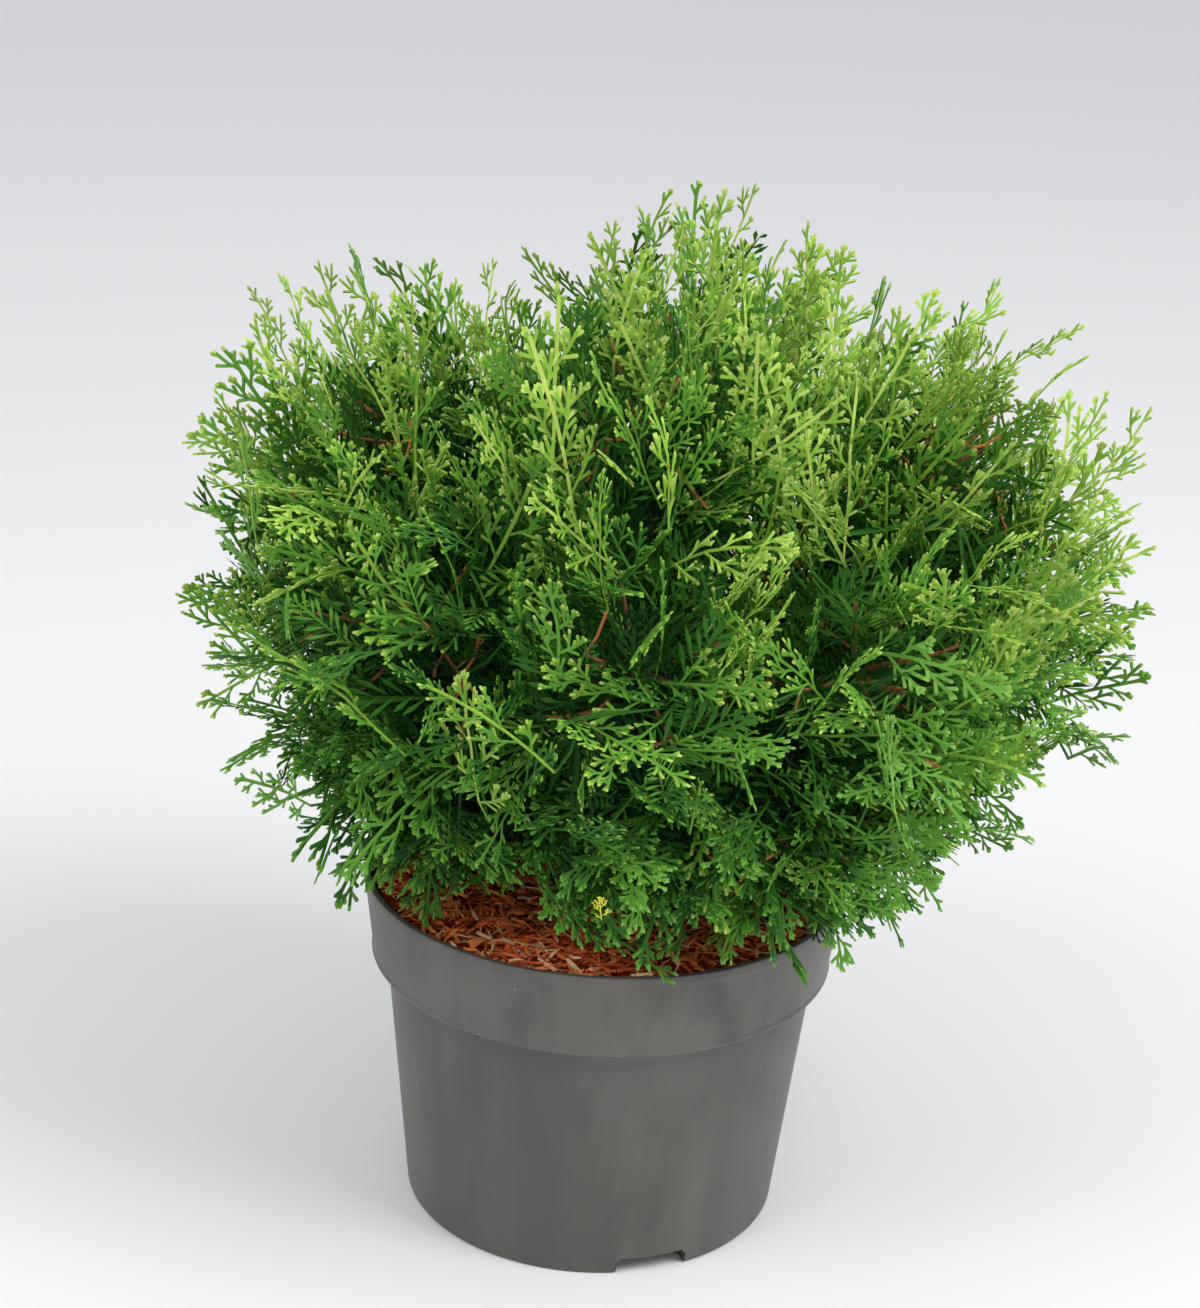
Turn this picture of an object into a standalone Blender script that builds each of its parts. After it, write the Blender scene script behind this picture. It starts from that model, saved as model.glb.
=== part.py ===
"""Eastern arborvitae, a young globe-shaped shrub growing in a round nursery pot.

Units are metres and +Z is up. The origin is the centre of the pot's flat underside.
-Y is the front of the plant and +X is its right side, seen from the front.
"""

import math
import random

import bmesh
import bpy
from mathutils import Matrix, Vector
from mathutils.bvhtree import BVHTree

# Clearances
SEAT_GAP = 0.0003
SPACE_GAP = 0.0008
LIMB_GAP = 0.0015

# Pot
POT_HEIGHT = 0.160
RIM_RADIUS = 0.1092
COLLAR_FOOT_RADIUS = 0.1040
COLLAR_FOOT_Z = 0.1200
BODY_TOP_RADIUS = 0.0973
BODY_TOP_Z = 0.1170
FOOT_RADIUS = 0.0854
WALL = 0.0020
LIP = 0.0030
LIP_DEPTH = 0.0120
EDGE = 0.0010
FLOOR = 0.0030
POT_STEPS = 32
MERGE_DISTANCE = 0.00005

# Drainage notches at the pot's foot
NOTCH_COUNT = 3
NOTCH_FIRST_TURN = 20.5
NOTCH_WIDTH = 0.033
NOTCH_HEIGHT = 0.008
NOTCH_DEPTH = 0.012
NOTCH_SKIN = 0.0020
NOTCH_OVERRUN = 0.0100

# Soil and bark mulch
SOIL_TOP_Z = 0.146
SOIL_FOOT_INSET = 0.018
MULCH_EDGE_Z = 0.1540
MULCH_CROWN = 0.0040
MULCH_LUMP = 0.0012
MULCH_RINGS = 4
MULCH_STEPS = 24
MULCH_FLAT_RADIUS = 0.024
MULCH_FOOT_FLAT = 1.1
MULCH_SEED = 11

# Stem
STEM_FOOT = Vector((0.006, 0.004, 0.0))
STEM_LEAN = Vector((0.010, 0.004, 0.0))
STEM_HEIGHT = 0.145
STEM_FOOT_RADIUS = 0.0118
STEM_TOP_RADIUS = 0.0042
STEM_SIDES = 16
STEM_RINGS = 11
STEM_BUNCHING = 1.4
STEM_CHECKS = 6
STEM_TAPER = 0.8
FLARE_RADIUS = 0.0075
FLARE_HEIGHT = 0.013
FLARE_RIBS = 4
FLARE_TURN = 0.6
FLARE_LEVEL = 0.55
FLARE_SWING = 0.45

# Boughs
BOUGH_FOOT_RADIUS = 0.0030
BOUGH_TIP_RADIUS = 0.0017
BOUGH_POINTS = 4
BOUGH_STUB = 0.005
BOUGH_RIM_STEPS = 8
BOUGH_RISE = 0.45
BOUGH_END = 0.72
BOUGH_LOWEST = 0.06
BOUGH_HIGHEST = 0.93
BOUGH_LOW_UP = 0.215
BOUGH_HIGH_UP = 0.400
BOUGH_STAGGER = 0.035
BOUGH_BUNCHING = 0.9
BOUGH_TIP_SETBACK = 0.2

# Growth inside a mass of foliage
MASS_REACH = 1.25
CORE_SIZE = 0.54
CORE_LUMP = 0.12
LEADER_RADIUS = 0.0019
TWIG_RADIUS = 0.0015
TWIG_TAPER = 0.8
TWIG_FORK = 0.15
TWIG_END = 0.64
TWIG_COUNT = 7
TWIG_NEAREST = 20.0
TWIG_FURTHEST = 104.0
TWIG_BUNCHING = 0.75
TWIG_SPIN = 40.0
TWIG_JITTER = 0.2
GOLDEN_TURN = 137.5
FIRST_SEED = 500

# Which way the sprays point: away from the crown's foot, and upward near its top
FLOW_SOURCE = Vector((0.010, 0.0, 0.205))
FLOW_SHARE = 0.60
LOW_HEIGHT = 0.235
HIGH_HEIGHT = 0.365
LIFT_LOW = -0.08
LIFT_HIGH = 0.45

# Sprays as flat blades
SPRAYS_PER_TWIG = 2
SPRAY_STEP = 0.18
SPRAY_SINK = 0.006
SPRAY_LENGTH = 0.60
SPRAY_WIDTH = 0.048
SPRAY_TRIMS = (1.0, 1.0, 0.9, 0.9, 0.75, 0.75)
SPRAY_THICKNESS = 0.0012
SPRAY_GIRTH = 0.0010
HANG_Z = 0.140
SPRAY_ROOT = 0.80
SPRAY_SPREAD = (38.0, 52.0)
SPRAY_STRETCH = (0.90, 1.15)
TWIG_FLOW = 0.5
CORE_FLOW = 0.6
CORE_SPRAYS = 25
CORE_SPRAY_LIMIT = 0.0
CORE_SPRAY_TIPS = (0.86, 1.0)
CROWN_MIDDLE = Vector((0.010, 0.0, 0.285))

# Each mass of foliage: its name, its turn from the front towards the right in degrees,
# how far out and how high its middle lies, its radius, and how tall it is for its width
MASSES = (
    ("foliage_low_front_left", -57, 0.104, 0.227, 0.056, 0.86),
    ("foliage_low_front", 4, 0.086, 0.226, 0.060, 0.84),
    ("foliage_low_front_right", 48, 0.104, 0.221, 0.062, 0.84),
    ("foliage_low_right", 97, 0.116, 0.228, 0.064, 0.84),
    ("foliage_low_back_right", 150, 0.108, 0.226, 0.068, 0.84),
    ("foliage_low_back_left", -155, 0.106, 0.226, 0.068, 0.84),
    ("foliage_low_left", -109, 0.104, 0.216, 0.058, 0.86),
    ("foliage_side_front_left", -52, 0.118, 0.304, 0.070, 1.0),
    ("foliage_side_front", 0, 0.113, 0.304, 0.070, 1.0),
    ("foliage_side_front_right", 47, 0.130, 0.298, 0.072, 1.0),
    ("foliage_side_right", 90, 0.148, 0.298, 0.070, 1.0),
    ("foliage_side_back_right", 134, 0.130, 0.300, 0.074, 1.0),
    ("foliage_side_back", 180, 0.120, 0.300, 0.074, 1.0),
    ("foliage_side_back_left", -134, 0.120, 0.300, 0.072, 1.0),
    ("foliage_side_left", -93, 0.128, 0.304, 0.068, 1.0),
    ("foliage_top_left", -90, 0.107, 0.361, 0.064, 1.0),
    ("foliage_top_front", -4, 0.054, 0.388, 0.066, 1.0),
    ("foliage_top_right", 84, 0.126, 0.359, 0.065, 1.0),
    ("foliage_top_back", 150, 0.056, 0.378, 0.070, 1.0),
)
CROWN_AXIS_X = 0.008

POT_GREY = (0.125, 0.123, 0.116)
SOIL_BROWN = (0.030, 0.018, 0.012)
MULCH_RED_BROWN = (0.180, 0.045, 0.018)
BARK_BROWN = (0.230, 0.095, 0.045)
FOLIAGE_GREEN = (0.085, 0.250, 0.035)


def make_material(name, colour, roughness):
    """A Principled material of one colour."""
    material = bpy.data.materials.new(name)
    material.use_nodes = True
    shader = material.node_tree.nodes["Principled BSDF"]
    shader.inputs["Base Color"].default_value = (*colour, 1.0)
    shader.inputs["Roughness"].default_value = roughness
    shader.inputs["Metallic"].default_value = 0.0
    return material


def add_object(name, mesh, collection, material=None):
    """An object for the mesh, in its collection and with its material."""
    thing = bpy.data.objects.new(name, mesh)
    collection.objects.link(thing)
    if material and not mesh.materials:
        mesh.materials.append(material)
    return thing


def mesh_from(shape, name):
    """A mesh that holds the bmesh, which is freed."""
    mesh = bpy.data.meshes.new(name)
    shape.to_mesh(mesh)
    shape.free()
    return mesh


def around(turn, out, up):
    """A point by its turn from the front, its distance from the crown's axis and its height."""
    angle = math.radians(turn)
    return Vector((CROWN_AXIS_X + out * math.sin(angle), -out * math.cos(angle), up))


# Pot

def pot_profile():
    """The wall's section: down its outer side, across the underside and up its inner side."""
    inner_step = BODY_TOP_Z - WALL
    return (
        (RIM_RADIUS - EDGE, POT_HEIGHT),
        (RIM_RADIUS, POT_HEIGHT - EDGE),
        (RIM_RADIUS - EDGE * 0.5, POT_HEIGHT - LIP_DEPTH),
        (COLLAR_FOOT_RADIUS, COLLAR_FOOT_Z + EDGE),
        (COLLAR_FOOT_RADIUS - EDGE, COLLAR_FOOT_Z),
        (BODY_TOP_RADIUS, BODY_TOP_Z),
        (FOOT_RADIUS, EDGE),
        (FOOT_RADIUS - EDGE, 0.0),
        (0.0, 0.0),
        (0.0, FLOOR),
        (FOOT_RADIUS - WALL, FLOOR),
        (BODY_TOP_RADIUS - WALL, inner_step),
        (COLLAR_FOOT_RADIUS - WALL - EDGE, COLLAR_FOOT_Z + EDGE),
        (RIM_RADIUS - LIP, POT_HEIGHT - LIP_DEPTH),
        (RIM_RADIUS - LIP, POT_HEIGHT - EDGE * 0.5),
        (RIM_RADIUS - LIP + EDGE * 0.5, POT_HEIGHT),
    )


def turned(name, profile, steps, collection, material, closed):
    """A turned solid from a section in the plane of X and Z."""
    shape = bmesh.new()
    verts = [shape.verts.new((radius, 0.0, height)) for radius, height in profile]
    pairs = list(zip(verts, verts[1:]))
    if closed:
        pairs.append((verts[-1], verts[0]))
    for first, second in pairs:
        shape.edges.new((first, second))
    thing = add_object(name, mesh_from(shape, name), collection, material)
    screw = thing.modifiers.new("turn", "SCREW")
    screw.steps = steps
    screw.render_steps = steps
    screw.use_merge_vertices = True
    screw.merge_threshold = MERGE_DISTANCE
    screw.use_smooth_shade = False
    return thing


def notch_box(name, inset, collection):
    """A box across the pot's foot at +X, its inner end an inset deeper than the notch."""
    inner = FOOT_RADIUS - NOTCH_DEPTH - inset
    outer = FOOT_RADIUS + (-WALL * 0.5 if inset else NOTCH_OVERRUN)
    top = NOTCH_HEIGHT + inset
    bottom = FLOOR * 0.5 if inset else -NOTCH_OVERRUN
    shape = bmesh.new()
    bmesh.ops.create_cube(shape, size=1.0)
    size = Vector((outer - inner, NOTCH_WIDTH + 2.0 * inset, top - bottom))
    middle = Vector(((outer + inner) * 0.5, 0.0, (top + bottom) * 0.5))
    bmesh.ops.transform(shape, matrix=Matrix.Translation(middle) @ Matrix.Diagonal((*size, 1.0)),
                        verts=shape.verts)
    thing = add_object(name, mesh_from(shape, name), collection)
    thing.hide_render = True
    thing.display_type = "WIRE"
    return thing


def make_pot(collection, cutters, material):
    """The pot: a stepped collar over a tapered body, and notches at the foot for drainage."""
    pot = turned("pot", pot_profile(), POT_STEPS, collection, material, closed=True)
    for index in range(NOTCH_COUNT):
        turn = NOTCH_FIRST_TURN + index * 360.0 / NOTCH_COUNT
        spin = Matrix.Rotation(math.radians(turn - 90.0), 4, "Z")
        for inset, operation in ((NOTCH_SKIN, "UNION"), (0.0, "DIFFERENCE")):
            box = notch_box(f"notch_{operation.lower()}_{index}", inset, cutters)
            box.matrix_world = spin
            cut = pot.modifiers.new(box.name, "BOOLEAN")
            cut.operation = operation
            cut.object = box
    return pot


# Soil and mulch

def wall_radius(height):
    """The pot's inner radius at a height, below the collar's step or within the collar."""
    if height <= BODY_TOP_Z - WALL:
        share = (height - FLOOR) / (BODY_TOP_Z - WALL - FLOOR)
        return FOOT_RADIUS - WALL + share * (BODY_TOP_RADIUS - FOOT_RADIUS)
    low = COLLAR_FOOT_RADIUS - WALL - EDGE
    share = (height - COLLAR_FOOT_Z - EDGE) / (POT_HEIGHT - LIP_DEPTH - COLLAR_FOOT_Z - EDGE)
    return low + min(share, 1.0) * (RIM_RADIUS - LIP - low)


def make_root_ball(collection, material):
    """The soil that fills the pot, its foot drawn in clear of the notches."""
    foot_top = NOTCH_HEIGHT + NOTCH_SKIN + 2.0 * SEAT_GAP
    step = BODY_TOP_Z - WALL
    collar = COLLAR_FOOT_Z + EDGE
    profile = (
        (0.0, SOIL_TOP_Z),
        (wall_radius(SOIL_TOP_Z) - SEAT_GAP, SOIL_TOP_Z),
        (wall_radius(collar) - SEAT_GAP, collar + SEAT_GAP),
        (wall_radius(step) - SEAT_GAP * 1.5, step + SEAT_GAP),
        (wall_radius(foot_top) - SEAT_GAP, foot_top),
        (FOOT_RADIUS - SOIL_FOOT_INSET, foot_top),
        (FOOT_RADIUS - SOIL_FOOT_INSET, FLOOR + SEAT_GAP),
        (0.0, FLOOR + SEAT_GAP),
    )
    return turned("root_ball", profile, POT_STEPS, collection, material, closed=False)


def mulch_height(radius, edge_radius):
    """The mulch's height: flat under the stem, then falling to the pot's wall."""
    if radius <= MULCH_FLAT_RADIUS:
        return MULCH_EDGE_Z + MULCH_CROWN
    share = (radius - MULCH_FLAT_RADIUS) / (edge_radius - MULCH_FLAT_RADIUS)
    return MULCH_EDGE_Z + MULCH_CROWN * (1.0 - share * share)


def make_mulch(collection, material):
    """The layer of shredded bark on the soil, uneven on top."""
    dice = random.Random(MULCH_SEED)
    low_z = SOIL_TOP_Z + SEAT_GAP
    flat_side = math.cos(math.pi / POT_STEPS)
    edge_radius = wall_radius(MULCH_EDGE_Z - MULCH_LUMP) * flat_side - SEAT_GAP
    rings = [MULCH_FLAT_RADIUS]
    for index in range(1, MULCH_RINGS + 1):
        share = index / MULCH_RINGS
        rings.append(MULCH_FLAT_RADIUS + share * (edge_radius - MULCH_FLAT_RADIUS))
    profile = [(0.0, MULCH_EDGE_Z + MULCH_CROWN)]
    profile += [(radius, mulch_height(radius, edge_radius)) for radius in rings]
    profile += [(wall_radius(low_z) * flat_side - SEAT_GAP, low_z), (0.0, low_z)]
    thing = turned("mulch", profile, MULCH_STEPS, collection, material, closed=False)
    mesh = applied_mesh(thing)
    for vertex in mesh.vertices:
        radius = math.hypot(vertex.co.x, vertex.co.y)
        if vertex.co.z > low_z + SEAT_GAP and radius > MULCH_FLAT_RADIUS * MULCH_FOOT_FLAT:
            vertex.co.z += dice.uniform(-MULCH_LUMP, MULCH_LUMP)
    thing.modifiers.clear()
    thing.data = mesh
    return thing


def applied_mesh(thing):
    """The object's mesh with its modifiers applied."""
    bpy.context.view_layer.update()
    graph = bpy.context.evaluated_depsgraph_get()
    mesh = bpy.data.meshes.new_from_object(thing.evaluated_get(graph))
    mesh.name = thing.name
    return mesh


# Stem and boughs

def stem_point(share):
    """The stem's middle at a share of its height: a slight lean that straightens upward."""
    base = STEM_FOOT + Vector((0.0, 0.0, MULCH_EDGE_Z + MULCH_CROWN + SEAT_GAP))
    bend = STEM_LEAN * math.sin(share * math.pi * 0.5)
    return base + bend + Vector((0.0, 0.0, STEM_HEIGHT * share))


def stem_reach(share, angle):
    """How far the stem's bark lies from its middle: the taper, and the root flare's ribs."""
    taper = STEM_FOOT_RADIUS + (STEM_TOP_RADIUS - STEM_FOOT_RADIUS) * share ** STEM_TAPER
    fade = math.exp(-share * STEM_HEIGHT / FLARE_HEIGHT)
    rib = FLARE_LEVEL + FLARE_SWING * math.cos(angle * FLARE_RIBS + FLARE_TURN)
    return taper + FLARE_RADIUS * fade * rib


def make_stem(collection, material):
    """The short stem: root flare at the mulch, true taper and a blunt top inside the crown."""
    shape = bmesh.new()
    rings = []
    for index in range(STEM_RINGS):
        share = (index / (STEM_RINGS - 1)) ** STEM_BUNCHING
        middle = stem_point(share)
        ring = []
        for side in range(STEM_SIDES):
            angle = 2.0 * math.pi * side / STEM_SIDES
            radius = stem_reach(share, angle)
            offset = Vector((radius * math.cos(angle), radius * math.sin(angle), 0.0))
            ring.append(shape.verts.new(middle + offset))
        rings.append(ring)
    for low, high in zip(rings, rings[1:]):
        for side in range(STEM_SIDES):
            after = (side + 1) % STEM_SIDES
            shape.faces.new((low[side], low[after], high[after], high[side]))
    shape.faces.new(list(reversed(rings[0])))
    shape.faces.new(rings[-1])
    return add_object("stem", mesh_from(shape, "stem"), collection, material)


def bough_seat(share, side):
    """How far from the stem's middle a bough starts, so that its foot's rim just clears the bark."""
    across = Vector((-side.y, side.x, 0.0))
    seat = 0.0
    for step in range(BOUGH_RIM_STEPS):
        turn = 2.0 * math.pi * step / BOUGH_RIM_STEPS
        rim_share = max(share + BOUGH_FOOT_RADIUS * math.sin(turn) / STEM_HEIGHT, 0.0)
        offset = across * BOUGH_FOOT_RADIUS * math.cos(turn)
        lean = stem_point(share) - stem_point(rim_share)
        rim = side * STEM_FOOT_RADIUS + offset
        reach = stem_reach(rim_share, math.atan2(rim.y, rim.x))
        seat = max(seat, math.sqrt(reach * reach - offset.length_squared) - lean.dot(side))
    return seat + SEAT_GAP


def curve_point(first, bend, last, share):
    """A point on the smooth curve from first to last that leans towards bend."""
    rest = 1.0 - share
    return first * rest * rest + bend * 2.0 * rest * share + last * share * share


def turned_way(way, lean, turn):
    """A way that leans off another by one angle and is turned about it by a second."""
    side = Matrix.Rotation(turn, 3, way) @ way.orthogonal().normalized()
    return (way * math.cos(lean) + side * math.sin(lean)).normalized()


class Mass:
    """One mass of foliage: its space, its bough and the ways of its twigs."""

    def __init__(self, index, row):
        self.index = index
        self.name, turn, out, up, self.size, self.tall = row
        self.middle = around(turn, out, up)
        self.dice = random.Random(FIRST_SEED + index)
        self.bough = self.bough_points(turn, up)
        self.heading = (self.middle - self.bough[0]).normalized()
        setback = SEAT_GAP + BOUGH_TIP_RADIUS * BOUGH_TIP_SETBACK
        self.entry = self.bough[-1] + self.end_heading() * setback
        self.twigs = [self.twig_way(step) for step in range(TWIG_COUNT)]

    def bough_points(self, turn, up):
        """The bough's path from the stem's side to where it enters the mass."""
        share = min(max((up - BOUGH_LOW_UP) / (BOUGH_HIGH_UP - BOUGH_LOW_UP), 0.0), 1.0)
        share = BOUGH_LOWEST + (BOUGH_HIGHEST - BOUGH_LOWEST) * share ** BOUGH_BUNCHING
        share += BOUGH_STAGGER * (self.index % 2)
        side = Vector((math.sin(math.radians(turn)), -math.cos(math.radians(turn)), 0.0))
        foot = stem_point(share) + side * bough_seat(share, side)
        first = foot + side * BOUGH_STUB
        inward = (first - self.middle).normalized()
        last = self.middle + inward * self.size * BOUGH_END
        bend = first.lerp(last, 0.5)
        bend.z = first.z + (last.z - first.z) * BOUGH_RISE
        steps = BOUGH_POINTS - 1
        path = [curve_point(first, bend, last, step / steps) for step in range(BOUGH_POINTS)]
        return [foot] + path

    def end_heading(self):
        """The way that the bough points at its tip."""
        return (self.bough[-1] - self.bough[-2]).normalized()

    def surface(self, way):
        """How far the mass reaches from its middle along a unit vector."""
        flat = math.hypot(way.x, way.y) / self.size
        rise = way.z / (self.size * self.tall)
        return 1.0 / math.hypot(flat, rise)

    def twig_way(self, step):
        """The way of one twig: spirals from the mass's heading back towards its bough."""
        share = (step + 0.5) / TWIG_COUNT
        lean = math.radians(TWIG_NEAREST + (TWIG_FURTHEST - TWIG_NEAREST) * share ** TWIG_BUNCHING)
        turn = math.radians(GOLDEN_TURN * step + TWIG_SPIN * self.index)
        turn += self.dice.uniform(-TWIG_JITTER, TWIG_JITTER)
        return turned_way(self.heading, lean, turn)

    def flow(self, way):
        """The way that the sprays point on the side of the mass that a unit vector gives."""
        tip = self.middle + way * self.surface(way) * MASS_REACH
        level = (self.middle.z - LOW_HEIGHT) / (HIGH_HEIGHT - LOW_HEIGHT)
        lift = LIFT_LOW + (LIFT_HIGH - LIFT_LOW) * min(max(level, 0.0), 1.0)
        out = (tip - FLOW_SOURCE).normalized() * FLOW_SHARE + way * (1.0 - FLOW_SHARE)
        return (out + Vector((0.0, 0.0, lift))).normalized()


def make_bough(mass, collection, material):
    """One tapering limb as a curve with a round section."""
    curve = bpy.data.curves.new(mass.name.replace("foliage", "bough"), "CURVE")
    curve.dimensions = "3D"
    curve.bevel_depth = 1.0
    curve.bevel_resolution = 1
    curve.use_fill_caps = True
    spline = curve.splines.new("POLY")
    spline.points.add(len(mass.bough) - 1)
    for step, (point, spot) in enumerate(zip(spline.points, mass.bough)):
        share = step / (len(mass.bough) - 1)
        point.co = (*spot, 1.0)
        point.radius = BOUGH_FOOT_RADIUS + (BOUGH_TIP_RADIUS - BOUGH_FOOT_RADIUS) * share
    curve.materials.append(material)
    thing = bpy.data.objects.new(curve.name, curve)
    collection.objects.link(thing)
    return thing


# Foliage

def spray_outline():
    """A flat spray of one unit's length along +X: a narrow root and three fingers."""
    return (
        (0.0, -0.05), (0.50, -0.40), (0.60, -0.13),
        (1.0, -0.03), (0.72, 0.12), (0.78, 0.36), (0.0, 0.05),
    )


def make_spray_mesh(collection):
    """The spray's blade, made from a filled flat outline of unit length."""
    curve = bpy.data.curves.new("spray", "CURVE")
    curve.dimensions = "2D"
    curve.fill_mode = "BOTH"
    curve.extrude = 0.5
    outline = spray_outline()
    spline = curve.splines.new("POLY")
    spline.points.add(len(outline) - 1)
    for point, (along, across) in zip(spline.points, outline):
        point.co = (along, across, 0.0, 1.0)
    spline.use_cyclic_u = True
    thing = bpy.data.objects.new("spray", curve)
    collection.objects.link(thing)
    mesh = applied_mesh(thing)
    bpy.data.objects.remove(thing)
    shape = bmesh.new()
    shape.from_mesh(mesh)
    bmesh.ops.remove_doubles(shape, verts=shape.verts, dist=MERGE_DISTANCE)
    bmesh.ops.recalc_face_normals(shape, faces=shape.faces)
    shape.to_mesh(mesh)
    shape.free()
    return mesh


def heading_matrix(start, way, roll, length):
    """Places a unit blade: its length along way, turned about it by roll."""
    spin = way.to_track_quat("X", "Z").to_matrix().to_4x4() @ Matrix.Rotation(roll, 4, "X")
    size = Matrix.Diagonal((length, SPRAY_WIDTH, SPRAY_THICKNESS, 1.0))
    return Matrix.Translation(start) @ spin @ size


def distance_to_path(point, path):
    """The least distance from a point to a line of points."""
    best = 1.0
    for first, second in zip(path, path[1:]):
        along = second - first
        share = min(max((point - first).dot(along) / along.length_squared, 0.0), 1.0)
        best = min(best, (first + along * share - point).length)
    return best


class Spaces:
    """The space that each mass keeps to, and the limbs that foliage stays clear of."""

    def __init__(self, masses):
        self.masses = masses
        self.limbs = [(mass.bough, BOUGH_FOOT_RADIUS) for mass in masses]
        trunk = [stem_point(step / STEM_CHECKS) for step in range(STEM_CHECKS + 1)]
        self.limbs.append((trunk, STEM_FOOT_RADIUS))

    def own(self, mass, points, gap):
        """Whether all the points lie nearer to this mass's middle than to any other's."""
        for other in self.masses:
            if other is mass:
                continue
            between = other.middle - mass.middle
            limit = between.length * 0.5 - gap * 0.5
            way = between.normalized()
            if any((point - mass.middle).dot(way) > limit for point in points):
                return False
        return True

    def clearance(self, point):
        """How far a point lies from the bark of the nearest limb."""
        return min(distance_to_path(point, path) - radius for path, radius in self.limbs)

    def clear(self, points, girth):
        """Whether the points stay clear of every limb, the mulch and the pot."""
        for point in points:
            outside = math.hypot(point.x, point.y) > RIM_RADIUS + LIMB_GAP + girth
            floor = HANG_Z if outside else POT_HEIGHT
            if point.z < floor + LIMB_GAP + girth:
                return False
        return all(self.clearance(point) > LIMB_GAP + girth for point in points)

    def core_radius(self, mass):
        """How large a round core may be before it leaves the mass's space or meets a limb."""
        nearest = min((other.middle - mass.middle).length
                      for other in self.masses if other is not mass)
        limb = self.clearance(mass.middle) - LIMB_GAP
        return min(mass.size * CORE_SIZE, nearest * 0.5 - SPACE_GAP, limb)


def add_core(mass, radius, parts):
    """The dense middle of a mass, lumpy and well inside its space."""
    shape = bmesh.new()
    bmesh.ops.create_icosphere(shape, subdivisions=2, radius=1.0)
    for vertex in shape.verts:
        lump = 1.0 - CORE_LUMP * mass.dice.random()
        vertex.co *= radius * lump
        vertex.co.z *= mass.tall
        vertex.co += mass.middle
    return add_object("core", mesh_from(shape, "core"), parts)


def add_stick(first, last, thick, thin, parts):
    """A straight three-sided twig."""
    way = last - first
    shape = bmesh.new()
    bmesh.ops.create_cone(shape, cap_ends=True, segments=3, radius1=thick, radius2=thin,
                          depth=way.length)
    spin = way.to_track_quat("Z", "Y").to_matrix().to_4x4()
    place = Matrix.Translation((first + last) * 0.5) @ spin
    bmesh.ops.transform(shape, matrix=place, verts=shape.verts)
    return add_object("twig", mesh_from(shape, "twig"), parts)


def spread_way(number, count):
    """One of many ways spread evenly over a sphere."""
    height = 1.0 - 2.0 * (number + 0.5) / count
    turn = math.radians(GOLDEN_TURN) * number
    flat = math.sqrt(1.0 - height * height)
    return Vector((flat * math.cos(turn), flat * math.sin(turn), height))


class Grower:
    """Lays the sprays of one mass: none leaves its space, touches a limb or crosses another."""

    def __init__(self, mass, spaces, blade, parts):
        self.mass = mass
        self.spaces = spaces
        self.blade = blade
        self.parts = parts
        self.faces = [face.vertices[:] for face in blade.polygons]
        self.laid = []

    def lay(self, root, heading, length):
        """One spray from its root, a little shorter where it needs to be, or none."""
        for trim in SPRAY_TRIMS:
            roll = self.mass.dice.uniform(0.0, math.pi)
            place = heading_matrix(root, heading, roll, length * trim)
            corners = [place @ vertex.co for vertex in self.blade.vertices]
            tree = BVHTree.FromPolygons(corners, self.faces)
            if any(tree.overlap(other) for other in self.laid):
                continue
            edges = [(corners[low] + corners[high]) * 0.5 for low, high in self.blade.edge_keys]
            own = self.spaces.own(self.mass, corners, SPACE_GAP)
            if own and self.spaces.clear(corners + edges, SPRAY_GIRTH):
                spray = add_object("spray", self.blade, self.parts)
                spray.matrix_world = place
                self.laid.append(tree)
                return

    def lay_on_twig(self, first, last, way):
        """The sprays of one twig: one at its end, and the others below it, to one side."""
        mass = self.mass
        side = way.orthogonal().normalized()
        side = Matrix.Rotation(mass.dice.uniform(0.0, 2.0 * math.pi), 3, way) @ side
        for number in range(SPRAYS_PER_TWIG):
            spread = math.radians(mass.dice.uniform(*SPRAY_SPREAD)) * number
            heading = way * math.cos(spread) + side * math.sin(spread) + mass.flow(way) * TWIG_FLOW
            heading.normalize()
            length = mass.size * SPRAY_LENGTH * mass.dice.uniform(*SPRAY_STRETCH)
            start = first.lerp(last, 1.0 - SPRAY_STEP * number)
            self.lay(start - heading * SPRAY_SINK, heading, length)

    def lay_on_core(self, radius):
        """The sprays between the twigs, which stand out of the core."""
        mass = self.mass
        outward = (mass.middle - CROWN_MIDDLE).normalized()
        for number in range(CORE_SPRAYS):
            way = spread_way(number, CORE_SPRAYS)
            if way.dot(outward) < CORE_SPRAY_LIMIT:
                continue
            root = mass.middle + Vector((way.x, way.y, way.z * mass.tall)) * radius * SPRAY_ROOT
            lean = (way + mass.flow(way) * CORE_FLOW).normalized()
            reach = mass.surface(lean) * MASS_REACH * mass.dice.uniform(*CORE_SPRAY_TIPS)
            tip = mass.middle + lean * reach
            self.lay(root, (tip - root).normalized(), (tip - root).length)


def grow_mass(mass, spaces, blade, collection, material):
    """One mass: its leader, twigs, sprays and core, joined into one solid."""
    parts = bpy.data.collections.new(mass.name + "_parts")
    bpy.context.scene.collection.children.link(parts)
    radius = spaces.core_radius(mass)
    core = add_core(mass, radius, parts)
    add_stick(mass.entry, mass.middle, LEADER_RADIUS, LEADER_RADIUS, parts)
    grower = Grower(mass, spaces, blade, parts)
    first = mass.middle.lerp(mass.entry, TWIG_FORK)
    for way in mass.twigs:
        last = mass.middle + way * mass.surface(way) * TWIG_END
        room = spaces.own(mass, (last,), SPACE_GAP + 2.0 * TWIG_RADIUS)
        if room and spaces.clear((last,), TWIG_RADIUS):
            add_stick(first, last, TWIG_RADIUS, TWIG_RADIUS * TWIG_TAPER, parts)
            grower.lay_on_twig(first, last, way)
    grower.lay_on_core(radius)
    return join_parts(mass.name, core, parts, collection, material)


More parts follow.
